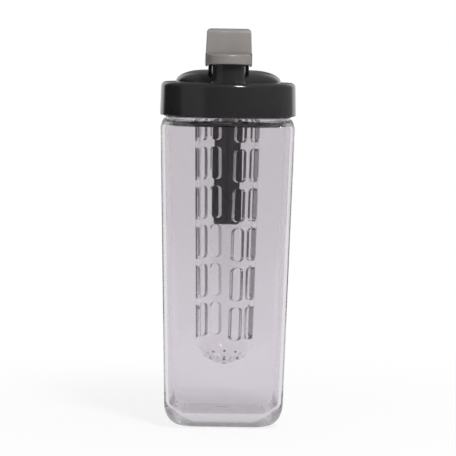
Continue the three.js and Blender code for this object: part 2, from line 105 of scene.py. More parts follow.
class Socket:
    """An output socket whose arithmetic adds Math nodes to its graph."""

    def __init__(self, graph: "Graph", socket: bpy.types.NodeSocket) -> None:
        """Keep the graph and the socket."""
        self.graph = graph
        self.socket = socket

    def _math(self, operation: str, first: "Socket | float", second: "Socket | float") -> "Socket":
        """Add one Math node."""
        return self.graph.node("ShaderNodeMath", {"operation": operation}, {0: first, 1: second})

    def __add__(self, other: "Socket | float") -> "Socket":
        """Add a value."""
        return self._math("ADD", self, other)

    __radd__ = __add__

    def __sub__(self, other: "Socket | float") -> "Socket":
        """Take a value away."""
        return self._math("SUBTRACT", self, other)

    def __rsub__(self, other: float) -> "Socket":
        """Take this value away from a number."""
        return self._math("SUBTRACT", other, self)

    def __mul__(self, other: "Socket | float") -> "Socket":
        """Multiply by a value."""
        return self._math("MULTIPLY", self, other)

    __rmul__ = __mul__

    def __truediv__(self, other: "Socket | float") -> "Socket":
        """Divide by a value."""
        return self._math("DIVIDE", self, other)

    def larger(self, other: "Socket | float") -> "Socket":
        """The larger of two values."""
        return self._math("MAXIMUM", self, other)

    def blend(self, other: "Socket | float", share: "Socket") -> "Socket":
        """Blend towards another value by a share of it."""
        return self + (other - self) * share


class Graph:
    """A node tree that is written as Python expressions."""

    def __init__(self, tree: bpy.types.NodeTree) -> None:
        """Start with an empty tree."""
        self.tree = tree
        self.tree.nodes.clear()

    def node(self, kind: str, settings: dict | None = None, inputs: dict | None = None,
             output: int | str = 0) -> Socket:
        """Add a node.

        Args:
            kind: The node's type name.
            settings: Its properties, set before its sockets; "stops" fills a colour ramp.
            inputs: Values or sockets for its inputs, by number, identifier or name.
            output: The output wanted, by number, identifier or name.

        Returns:
            That output, or the first one.
        """
        made = self.tree.nodes.new(kind)
        for name, value in (settings or {}).items():
            if name == "stops":
                self._fill_ramp(made.color_ramp, value)
            else:
                setattr(made, name, value)
        for key, value in (inputs or {}).items():
            self._plug(self._find(made.inputs, key), value)
        outputs = made.outputs
        return Socket(self, self._find(outputs, output) if len(outputs) else None)

    @staticmethod
    def _find(sockets: bpy.types.bpy_prop_collection, key: int | str) -> bpy.types.NodeSocket:
        """Find a socket by number, identifier or name."""
        named = {socket.identifier: socket for socket in sockets}
        return named[key] if key in named else sockets[key]

    def _plug(self, target: bpy.types.NodeSocket, value: object) -> None:
        """Link a socket or set its own value.

        Args:
            target: The input.
            value: A socket, a list of sockets that are linked one after another, or a plain value.
        """
        if isinstance(value, Socket):
            self.tree.links.new(value.socket, target)
        elif isinstance(value, list):
            for one in value:
                self.tree.links.new(one.socket, target)
        elif target.type == "RGBA":
            target.default_value = (*value, 1.0)
        else:
            target.default_value = value

    @staticmethod
    def _fill_ramp(ramp: bpy.types.ColorRamp, stops: Sequence[Point]) -> None:
        """Set a ramp's stops.

        Args:
            ramp: The colour ramp.
            stops: A place and a grey value for each stop.
        """
        while len(ramp.elements) < len(stops):
            ramp.elements.new(1.0)
        for element, (place, value) in zip(ramp.elements, stops):
            element.position = place
            element.color = (value, value, value, 1.0)

    def mix(self, share: Socket | float, first: Socket | Colour, second: Socket | Colour) -> Socket:
        """Blend two colours by a share of the second one."""
        inputs = {"Factor_Float": share, "A_Color": first, "B_Color": second}
        return self.node("ShaderNodeMix", {"data_type": "RGBA"}, inputs, "Result_Color")

    def ramp(self, value: Socket, low: float, high: float, start: float = 0.0, end: float = 1.0) -> Socket:
        """Map a value smoothly from one range to another."""
        inputs = {0: value, 1: low, 2: high, 3: start, 4: end}
        return self.node("ShaderNodeMapRange", {"interpolation_type": "SMOOTHSTEP"}, inputs)

    def place(self, kind: str = "Object") -> Socket:
        """Coordinates of a named kind."""
        return self.node("ShaderNodeTexCoord", output=kind)

    def axis(self, vector: Socket, name: str) -> Socket:
        """One part of a vector."""
        return self.node("ShaderNodeSeparateXYZ", None, {0: vector}, name)

    def vectors(self, operation: str, *parts: Socket | Triple, output: int | str = 0) -> Socket:
        """Add one Vector Math node."""
        return self.node("ShaderNodeVectorMath", {"operation": operation}, dict(enumerate(parts)), output)

    def light_path(self, ray: str) -> Socket:
        """Whether light is seen by a kind of ray."""
        return self.node("ShaderNodeLightPath", output=ray)

    def noise(self, scale: float, detail: float = 2.0, stretch: Triple = (1.0, 1.0, 1.0)) -> Socket:
        """A cloudy pattern on Object coordinates.

        Args:
            scale: Clouds to a metre.
            detail: Octaves of finer pattern.
            stretch: Scale along each axis.

        Returns:
            The pattern's value, about 0.5 in the middle.
        """
        turned = self.node("ShaderNodeMapping", None, {"Vector": self.place(), "Scale": stretch})
        inputs = {"Vector": turned, "Scale": scale, "Detail": detail}
        return self.node("ShaderNodeTexNoise", None, inputs)

    def bump(self, height: Socket, strength: float, distance_mm: float) -> Socket:
        """A normal that follows a height pattern."""
        inputs = {"Height": height, "Strength": strength, "Distance": distance_mm * MM}
        return self.node("ShaderNodeBump", None, inputs)

    def principled(self, inputs: dict) -> Socket:
        """A Principled shader."""
        return self.node("ShaderNodeBsdfPrincipled", None, inputs)


class GeometryTree(Graph):
    """A Geometry Nodes tree with named sizes, run once on a piece."""

    def __init__(self, name: str) -> None:
        """Start a tree with a geometry input and output.

        Args:
            name: The tree's name.
        """
        super().__init__(bpy.data.node_groups.new(name, "GeometryNodeTree"))
        self.values: dict[str, object] = {}
        for way in ("OUTPUT", "INPUT"):
            self.tree.interface.new_socket("Geometry", in_out=way, socket_type="NodeSocketGeometry")
        self.entry = self.tree.nodes.new("NodeGroupInput")
        self.geometry = Socket(self, self.entry.outputs[0])

    def size(self, name: str, value: float | int | bpy.types.Material) -> Socket:
        """Add a named input.

        Args:
            name: What the size is called.
            value: A count, a length in millimetres or a material.

        Returns:
            The input's socket, with a length in metres.
        """
        kinds = {int: "NodeSocketInt", float: "NodeSocketFloat"}
        kind = kinds.get(type(value), "NodeSocketMaterial")
        made = self.tree.interface.new_socket(name, in_out="INPUT", socket_type=kind)
        self.values[made.identifier] = value * MM if isinstance(value, float) else value
        return Socket(self, self._find(self.entry.outputs, made.identifier))

    def vector(self, x: Socket | float = 0.0, y: Socket | float = 0.0, z: Socket | float = 0.0) -> Socket:
        """A vector from three values."""
        return self.node("ShaderNodeCombineXYZ", None, {0: x, 1: y, 2: z})

    def moved(self, shape: Socket, place: Socket | Triple = (0, 0, 0), turn: Triple = (0, 0, 0)) -> Socket:
        """Turn a shape by angles in degrees, then move it."""
        inputs = {"Geometry": shape, "Translation": place, "Rotation": Euler(map(math.radians, turn))}
        return self.node("GeometryNodeTransform", None, inputs)

    def joined(self, *parts: Socket) -> Socket:
        """Join geometries."""
        return self.node("GeometryNodeJoinGeometry", None, {"Geometry": list(parts)})

    def row(self, count: Socket | int, start: Socket, step: Socket) -> Socket:
        """Points in a straight row."""
        inputs = {"Count": count, "Start Location": start, "Offset": step}
        return self.node("GeometryNodeMeshLine", None, inputs)

    def copies(self, points: Socket, shape: Socket, turn: Socket | Triple = (0, 0, 0)) -> Socket:
        """Put a real copy of a shape on each point.

        Args:
            points: Where the copies go.
            shape: What is copied.
            turn: How each copy is turned.

        Returns:
            The copies.
        """
        inputs = {"Points": points, "Instance": shape, "Rotation": turn}
        placed = self.node("GeometryNodeInstanceOnPoints", None, inputs)
        return self.node("GeometryNodeRealizeInstances", None, {0: placed})

    def swept(self, path: Socket, outline: Socket) -> Socket:
        """Sweep an outline along a path, with filled ends."""
        inputs = {"Curve": path, "Profile Curve": outline, "Fill Caps": True}
        return self.node("GeometryNodeCurveToMesh", None, inputs)

    def thread(self, reach: Socket, height: Socket, turns: Socket | float, steps: int,
               ridge: Socket, sides: int) -> Socket:
        """Wind a round ridge up about Z, from the origin's level.

        Args:
            reach: Distance of the ridge's middle from the axis.
            height: How far it rises.
            turns: How often it goes round.
            steps: Points to a turn.
            ridge: Radius of the ridge.
            sides: Sides of the ridge.

        Returns:
            The closed ridge.
        """
        path = self.node("GeometryNodeCurveSpiral", None, {
            "Resolution": steps, "Rotations": turns, "Start Radius": reach, "End Radius": reach,
            "Height": height})
        outline = {"Resolution": sides, "Radius": ridge}
        return self.swept(path, self.node("GeometryNodeCurvePrimitiveCircle", None, outline))

    def combined(self, first: Socket, second: Socket, how: Cut) -> Socket:
        """Join or cut two solids.

        Args:
            first: The solid that is kept.
            second: The solid that is joined to it or cut away.
            how: The way to combine them.

        Returns:
            The result.
        """
        settings = {"operation": how.value, "solver": "MANIFOLD"}
        inputs = {"Mesh 2": [first, second]}
        if how is Cut.TAKE_AWAY:
            inputs = {"Mesh 1": first, "Mesh 2": second}
        return self.node("GeometryNodeMeshBoolean", settings, inputs)

    def run(self, piece: bpy.types.Object, result: Socket, material: bpy.types.Material) -> None:
        """End the tree, set its inputs and turn the piece into the result.

        Args:
            piece: The object that the tree starts from.
            result: The finished geometry.
            material: The finish of the result.
        """
        finish = self.size("Finish", material)
        real = self.node("GeometryNodeRealizeInstances", None, {0: result})
        dressed = self.node("GeometryNodeSetMaterial", None, {"Geometry": real, "Material": finish})
        self.node("NodeGroupOutput", None, {0: dressed})
        modifier = piece.modifiers.new(self.tree.name, "NODES")
        modifier.node_group = self.tree
        for identifier, value in self.values.items():
            modifier[identifier] = value
        settle(piece)


# Surfaces


def spread(start: float, end: float, steps: int) -> list[float]:
    """Values from a start to an end in equal steps."""
    return [start + (end - start) * i / steps for i in range(steps + 1)]


def arc(middle: Point, radius: float, start: float, end: float, steps: int) -> list[Point]:
    """Points of an arc between two angles in degrees."""
    turns = [math.radians(degrees) for degrees in spread(start, end, steps)]
    return [(middle[0] + radius * math.cos(t), middle[1] + radius * math.sin(t)) for t in turns]


def quarter_ellipse(middle: Point, width: float, height: float, steps: int) -> list[Point]:
    """Points of a quarter ellipse from its wide side to its top."""
    turns = spread(0.0, math.pi / 2, steps)
    return [(middle[0] + width * math.cos(t), middle[1] + height * math.sin(t)) for t in turns]


def rounded_rectangle(low: Point, high: Point, radius: float, steps: int = CORNER_STEPS) -> list[Point]:
    """Outline of a rectangle with round corners.

    Args:
        low: Its lowest corner.
        high: Its highest corner.
        radius: Radius of its corners.
        steps: Steps of each corner.

    Returns:
        The outline, anticlockwise.
    """
    corners = [
        (high[0] - radius, high[1] - radius),
        (low[0] + radius, high[1] - radius),
        (low[0] + radius, low[1] + radius),
        (high[0] - radius, low[1] + radius),
    ]
    outline = []
    for quarter, corner in enumerate(corners):
        outline += arc(corner, radius, 90 * quarter, 90 * quarter + 90, steps)
    return outline


def round_fronted(half: float, middle: float, back: float, corner: float) -> list[Point]:
    """An outline with a half-round front and straight sides.

    Args:
        half: Half its width, and the radius of its front.
        middle: Where the middle of its front is, along Y.
        back: Where its back is, along Y.
        corner: Radius of its back corners.

    Returns:
        The outline, anticlockwise.
    """
    front_steps = 48
    outline = arc((half - corner, back - corner), corner, 0, 90, CORNER_STEPS)
    outline += arc((corner - half, back - corner), corner, 90, 180, CORNER_STEPS)
    return outline + arc((0.0, middle), half, 180, 360, front_steps)


def quadratic(start: Point, control: Point, end: Point, steps: int) -> list[Point]:
    """A curve that is drawn towards one control point.

    Args:
        start: Where it starts.
        control: What it is drawn towards.
        end: Where it ends.
        steps: Steps along it.

    Returns:
        Its points, without the start.
    """
    points = []
    for t in spread(0.0, 1.0, steps)[1:]:
        weights = ((1 - t) ** 2, 2 * t * (1 - t), t * t)
        mixed = [sum(w * p[axis] for w, p in zip(weights, (start, control, end))) for axis in (0, 1)]
        points.append((mixed[0], mixed[1]))
    return points


def inset(outline: Sequence[Point], distance: float) -> list[Point]:
    """Draw an outline in along the bisector of each corner.

    Args:
        outline: A closed outline.
        distance: How far its sides move in.

    Returns:
        The smaller outline.
    """
    sharpest = 0.5
    points = [Vector(p) for p in outline]
    count = len(points)
    area = sum(points[i - 1].cross(points[i]) for i in range(count))
    inward = 1 if area > 0 else -1
    moved = []
    for i, point in enumerate(points):
        before = (point - points[i - 1]).normalized()
        after = (points[(i + 1) % count] - point).normalized()
        normals = [Vector((-d.y, d.x)) * inward for d in (before, after)]
        middle = normals[0] + normals[1]
        step = middle * (2 / max(middle.length_squared, sharpest)) * distance
        moved.append(tuple(point + step))
    return moved


@dataclass
class Form:
    """A closed surface: points in millimetres and faces of point numbers."""

    points: list[Vector]
    faces: list[tuple[int, ...]]

    @classmethod
    def from_rings(cls, rings: Sequence[Ring], looped: bool = False) -> "Form":
        """Skin a stack of rings.

        Args:
            rings: Rings of equal count; a ring of one point is a pole.
            looped: True if the last ring joins the first, otherwise open ends are filled.

        Returns:
            The closed surface.
        """
        points, faces, starts = [], [], []
        for ring in rings:
            starts.append(len(points))
            points.extend(ring)
        last = len(rings) - 1
        pairs = [(i, i + 1) for i in range(last)] + ([(last, 0)] if looped else [])
        for a, b in pairs:
            faces += cls._band(starts[a], len(rings[a]), starts[b], len(rings[b]))
        for end in () if looped else (0, last):
            if len(rings[end]) > 1:
                faces.append(tuple(starts[end] + i for i in range(len(rings[end]))))
        return cls(points, faces)

    @staticmethod
    def _band(first: int, count: int, second: int, other: int) -> list[tuple[int, ...]]:
        """Faces between two rings, or between a ring and a pole.

        Args:
            first: Number of the first ring's first point.
            count: Points of the first ring.
            second: Number of the second ring's first point.
            other: Points of the second ring.

        Returns:
            The faces.
        """
        faces = []
        for i in range(max(count, other)):
            j = (i + 1) % max(count, other)
            if count == 1:
                faces.append((first, second + j, second + i))
            elif other == 1:
                faces.append((first + i, first + j, second))
            else:
                faces.append((first + i, first + j, second + j, second + i))
        return faces

    @classmethod
    def lathe(cls, profile: Sequence[Point], sides: int = ROUND_SIDES, looped: bool = False) -> "Form":
        """Revolve a profile about Z.

        Args:
            profile: Radius and height of each point; a radius of 0 is a pole.
            sides: Sides of the round.
            looped: True if the profile is closed.

        Returns:
            The closed surface.
        """
        turns = spread(0.0, 2 * math.pi, sides)[:-1]
        rings = []
        for radius, height in profile:
            if radius < POLE:
                rings.append([Vector((0, 0, height))])
            else:
                rings.append([Vector((radius * math.sin(t), -radius * math.cos(t), height)) for t in turns])
        return cls.from_rings(rings, looped)

    @classmethod
    def rod(cls, radius: float, low: float, high: float, edge: float = 0.0, sides: int = 64) -> "Form":
        """An upright round rod.

        Args:
            radius: Its radius.
            low: Height of its lower end.
            high: Height of its upper end.
            edge: Radius of the edges at its ends.
            sides: Sides of the round.

        Returns:
            The closed surface.
        """
        profile = [(radius, low), (radius, high)]
        if edge > 0:
            profile = arc((radius - edge, low + edge), edge, 270, 360, EDGE_STEPS)
            profile += arc((radius - edge, high - edge), edge, 0, 90, EDGE_STEPS)
        return cls.lathe([(0.0, low), *profile, (0.0, high)], sides)

    @classmethod
    def prism(cls, outline: Sequence[Point], low: float, high: float, edge: float = 0.0) -> "Form":
        """Stand an outline in X and Y up between two heights, with round edges."""
        levels = cls._rounded_levels(low, high, edge)
        return cls.from_rings([[Vector((*p, z)) for p in inset(outline, draw)] for z, draw in levels])

    @classmethod
    def side_extrusion(cls, outline: Sequence[Point], width: float, edge: float = 0.0) -> "Form":
        """Extrude an outline in Y and Z to half a width on each side, with round edges."""
        levels = cls._rounded_levels(-width / 2, width / 2, edge)
        return cls.from_rings([[Vector((x, *p)) for p in inset(outline, draw)] for x, draw in levels])

    @staticmethod
    def _rounded_levels(low: float, high: float, edge: float, steps: int = 5) -> list[Point]:
        """Levels of a solid whose ends are round.

        Args:
            low: Its lower end.
            high: Its upper end.
            edge: Radius of its edges.
            steps: Steps of each edge.

        Returns:
            Each level and how far it is drawn in.
        """
        if edge <= 0:
            return [(low, 0.0), (high, 0.0)]
        turns = reversed(spread(0.0, math.pi / 2, steps))
        start = [(low + edge * (1 - math.sin(t)), edge * (1 - math.cos(t))) for t in turns]
        return start + [(high + low - level, draw) for level, draw in reversed(start)]

    def turned(self, matrix: Matrix) -> "Form":
        """The same surface under a matrix."""
        return Form([matrix @ p for p in self.points], self.faces)

    def moved_back(self, y: float) -> "Form":
        """The same surface moved along Y."""
        return self.turned(Matrix.Translation((0, y, 0)))

    def piece(self, name: str) -> bpy.types.Object:
        """Make an object with its place in its mesh and its faces outwards.

        Args:
            name: The object's name.

        Returns:
            The object.
        """
        mesh = bpy.data.meshes.new(name)
        mesh.from_pydata([p * MM for p in self.points], [], self.faces)
        work = bmesh.new()
        work.from_mesh(mesh)
        bmesh.ops.remove_doubles(work, verts=work.verts, dist=MERGE)
        bmesh.ops.recalc_face_normals(work, faces=work.faces)
        work.to_mesh(mesh)
        work.free()
        made = bpy.data.objects.new(name, mesh)
        bpy.context.scene.collection.objects.link(made)
        return made


def settle(piece: bpy.types.Object) -> None:
    """Turn a piece's modifiers into its plain mesh.

    Args:
        piece: The object.
    """
    graph = bpy.context.evaluated_depsgraph_get()
    mesh = bpy.data.meshes.new_from_object(piece.evaluated_get(graph))
    old = piece.data
    piece.modifiers.clear()
    piece.data = mesh
    bpy.data.meshes.remove(old)
    mesh.name = piece.name


def combine(piece: bpy.types.Object, how: Cut, *tools: Form) -> None:
    """Join or cut a piece with other solids, one after another.

    Args:
        piece: The object that is changed.
        how: The way to combine them.
        tools: The other solids.
    """
    for tool in tools:
        helper = tool.piece("tool")
        modifier = piece.modifiers.new("combine", "BOOLEAN")
        modifier.operation = how.value
        modifier.solver = "MANIFOLD"
        modifier.object = helper
        settle(piece)
        bpy.data.objects.remove(helper)


def shade(piece: bpy.types.Object, sharp_degrees: float = 34.0) -> None:
    """Shade a piece smooth, with flats that stay flat.

    Args:
        piece: The object.
        sharp_degrees: The angle past which an edge stays sharp.
    """
    piece.data.shade_smooth()
    piece.data.set_sharp_from_angle(angle=math.radians(sharp_degrees))
    modifier = piece.modifiers.new("normals", "WEIGHTED_NORMAL")
    modifier.keep_sharp = True
    settle(piece)


@dataclass(frozen=True)
class CadBox:
    """The corners of a CAD node in millimetres."""

    low: Vector
    high: Vector

    @classmethod
    def of(cls, *nodes: str) -> "CadBox":
        """The box round one or more nodes.

        Args:
            nodes: The nodes' names.

        Returns:
            The box.
        """
        boxes = [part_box(node) for node in nodes]
        low = Vector([min(b[0][i] for b in boxes) for i in range(3)])
        high = Vector([max(b[1][i] for b in boxes) for i in range(3)])
        return cls(low / MM, high / MM)

    @property
    def width(self) -> float:
        """Its size along X."""
        return self.high.x - self.low.x


def hinge_line() -> Point:
    """The hinge's place in Y and Z, from its pin."""
    pin = CadBox.of("hinge_pin")
    return (pin.low.y + pin.high.y) / 2, (pin.low.z + pin.high.z) / 2


def hinge_rod(radius: float, length: float, edge: float = 0.0) -> Form:
    """A round rod along the hinge, with round edges at its ends."""
    lay = Matrix.Translation((0, *hinge_line())) @ Matrix.Rotation(math.pi / 2, 4, "Y")
    return Form.rod(radius, -length / 2, length / 2, edge).turned(lay)


# Finishes


def metres(span: Span) -> Span:
    """A range of lengths in metres."""
    return span[0] * MM, span[1] * MM


@dataclass(frozen=True)
class Finish:
    """A surface finish that makes one procedural material."""

    name: str
    slot: Slot

    def material(self) -> bpy.types.Material:
        """Make the material once and give it back afterwards.

        Returns:
            The material.
        """
        found = bpy.data.materials.get(self.name)
        if found:
            return found
        made = bpy.data.materials.new(self.name)
        made.use_nodes = True
        graph = Graph(made.node_tree)
        graph.node("ShaderNodeOutputMaterial", None, {"Surface": self.surface(graph)})
        return made

    def surface(self, graph: Graph) -> Socket:
        """Lay the finish's shader."""
        raise NotImplementedError


@dataclass(frozen=True)
class ClearPlastic(Finish):
    """Clear moulded plastic with faint flow ripples and handling haze."""

    tint: Colour = (0.809, 0.781, 0.818)
    upper_tint: Colour = (0.778, 0.755, 0.779)
    upper_z: Span = (40.0, 200.0)
    foot_tint: Colour = (0.71, 0.69, 0.72)
    foot_z: Span = (2.0, 18.0)
    ior: float = 1.5
    gloss: float = 0.01
    haze: float = 0.03
    haze_scale: float = 60.0
    haze_range: Span = (0.5, 0.8)
    scuff: float = 0.3
    scuff_z: Span = (0.3, 1.2)
    ripple: float = 0.1
    ripple_depth: float = 0.25
    flow_scale: float = 14.0
    flow_stretch: Triple = (1.0, 1.0, 0.22)
    flow_shift: float = 30.0

    def height(self, graph: Graph) -> Socket:
        """Height above the standing face."""
        return graph.axis(graph.place(), "Z")

    def colour(self, graph: Graph, flow: Socket) -> Socket:
        """The tint, deeper in the thick foot and again upwards.

        Args:
            graph: The material's graph.
            flow: The mould's flow pattern, which moves the upper change.

        Returns:
            The colour.
        """
        height = self.height(graph)
        up = graph.ramp(height + self.flow_shift * MM * (flow - 0.5), *metres(self.upper_z))
        over_foot = graph.ramp(height, *metres(self.foot_z))
        return graph.mix(over_foot, self.foot_tint, graph.mix(up, self.tint, self.upper_tint))

    def surface(self, graph: Graph) -> Socket:
        """Refracting plastic, rippled along its mould's flow and scuffed where it stands.

        Args:
            graph: The material's graph.

        Returns:
            The shader.
        """
        flow = graph.noise(self.flow_scale, 1, self.flow_stretch)
        fog = graph.ramp(graph.noise(self.haze_scale, 3), *self.haze_range)
        standing = graph.ramp(self.height(graph), *metres(self.scuff_z), self.scuff, 0.0)
        return graph.principled({
            "Base Color": self.colour(graph, flow),
            "Roughness": self.gloss + self.haze * fog + standing,
            "IOR": self.ior,
            "Transmission Weight": 1.0,
            "Normal": graph.bump(flow, self.ripple, self.ripple_depth),
        })


@dataclass(frozen=True)
class PiercedPlastic(ClearPlastic):
    """Clear plastic with painted shade on the walls cut through it: a darker colour standing in for the
    dark edges that refraction gives them.
    """

    # Painted shade: the darker colour laid on the slot walls above the domed end.
    cut_wall_painted_shade: Colour = (0.4, 0.39, 0.4)
    cut_z: Span = (54.0, 55.0)
    cut_facing: Span = (0.6, 0.3)

    def colour(self, graph: Graph, flow: Socket) -> Socket:
        """The tint, with painted shade where the surface doesn't face away from the upright axis.

        Args:
            graph: The material's graph.
            flow: The mould's flow pattern.

        Returns:
            The colour.
        """
        level = graph.vectors("MULTIPLY", graph.place(), (1.0, 1.0, 0.0))
        outward = graph.vectors("NORMALIZE", level)
        facing = graph.vectors("DOT_PRODUCT", graph.place("Normal"), outward, output="Value")
        above = graph.ramp(self.height(graph), *metres(self.cut_z))
        # Painted shade on the cut walls, which face across the upright axis.
        cut = graph.ramp(facing * facing, *self.cut_facing) * above
        return graph.mix(cut, super().colour(graph, flow), self.cut_wall_painted_shade)


@dataclass(frozen=True)
class MouldedPlastic(Finish):
    """Opaque moulded plastic with mottled colour, fine grain and soft gloss changes."""

    colour: Colour = (0.0225, 0.0218, 0.0228)
    mottle: Colour = (0.0255, 0.0247, 0.026)
    mottle_scale: float = 45.0
    mottle_range: Span = (0.3, 0.7)
    roughness: float = 0.11
    roughness_change: float = 0.06
    wipe_scale: float = 120.0
    wipe_stretch: Triple = (1.0, 1.0, 0.3)
    wipe_range: Span = (0.35, 0.75)
    specular: float = 0.5
    grain: float = 900.0
    grain_strength: float = 0.06
    grain_depth: float = 0.05

    def surface(self, graph: Graph) -> Socket:
        """Plastic with a mould's grain.

        Args:
            graph: The material's graph.

        Returns:
            The shader.
        """
        cloud = graph.ramp(graph.noise(self.mottle_scale, 3), *self.mottle_range)
        wipe = graph.ramp(graph.noise(self.wipe_scale, 2, self.wipe_stretch), *self.wipe_range)
        grain = graph.noise(self.grain, 2)
        return graph.principled({
            "Base Color": graph.mix(cloud, self.colour, self.mottle),
            "Roughness": self.roughness + self.roughness_change * wipe,
            "Specular IOR Level": self.specular,
            "Normal": graph.bump(grain, self.grain_strength, self.grain_depth),
        })


@dataclass(frozen=True)
class BrushedSteel(Finish):
    """Stainless steel with fine lines across its length."""

    colour: Colour = (0.55, 0.56, 0.57)
    dark: Colour = (0.44, 0.45, 0.46)
    line_scale: float = 900.0
    line_stretch: Triple = (4.0, 0.3, 0.3)
    roughness: float = 0.22
    roughness_change: float = 0.16
    line_strength: float = 0.08
    line_depth: float = 0.02

    def surface(self, graph: Graph) -> Socket:
        """Metal with lines in its colour and gloss.

        Args:
            graph: The material's graph.

        Returns:
            The shader.
        """
        lines = graph.noise(self.line_scale, 2, self.line_stretch)
        return graph.principled({
            "Base Color": graph.mix(lines, self.colour, self.dark),
            "Metallic": 1.0,
            "Roughness": self.roughness + self.roughness_change * lines,
            "Normal": graph.bump(lines, self.line_strength, self.line_depth),
        })


JUG_CLEAR = ClearPlastic("clear_jug_plastic", Slot.CLEAR)
BASKET_CLEAR = PiercedPlastic(
    "clear_basket_plastic", Slot.CLEAR, tint=(0.985, 0.98, 0.985), upper_tint=(0.98, 0.975, 0.98),
    ripple=0.06)
CHARCOAL = MouldedPlastic("charcoal_gloss_plastic", Slot.CHARCOAL)
LINER_CHARCOAL = MouldedPlastic(
    "charcoal_matt_plastic", Slot.CHARCOAL, colour=(0.017, 0.0165, 0.0172),
    mottle=(0.021, 0.0205, 0.0213), roughness=0.5, roughness_change=0.12, specular=0.25,
    grain_strength=0.12)
WARM_GREY = MouldedPlastic(
    "warm_grey_satin_plastic", Slot.GREY, colour=(0.244, 0.2265, 0.2165),
    mottle=(0.235, 0.218, 0.2075), roughness=0.26, roughness_change=0.08, grain=1400.0,
    grain_strength=0.08)
DARK_SILICONE = MouldedPlastic(
    "dark_silicone", Slot.DARK_SILICONE, colour=(0.022, 0.022, 0.023), mottle=(0.028, 0.028, 0.029),
    roughness=0.52, roughness_change=0.14, grain=600.0, grain_strength=0.15)
PALE_SILICONE = MouldedPlastic(
    "pale_silicone", Slot.PALE_SILICONE, colour=(0.68, 0.67, 0.64), mottle=(0.6, 0.59, 0.56),
    roughness=0.48, roughness_change=0.14, grain=600.0, grain_strength=0.15)
STEEL = BrushedSteel("pin_steel", Slot.STEEL)


def seat(piece: bpy.types.Object, finish: Finish, body: Body, *nodes: str) -> None:
    """Shade and dress a piece, let it ride on its body and stand for its CAD nodes.

    Args:
        piece: The finished object.
        finish: Its surface finish.
        body: The body that carries it.
        nodes: The CAD nodes that it replaces.
    """
    shade(piece)
    piece.data.materials.clear()
    piece.data.materials.append(finish.material())
    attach(piece, body.value)
    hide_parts(*nodes)
    log.info("%s: %d faces, on %s", piece.name, len(piece.data.polygons), body.value)


# The jug


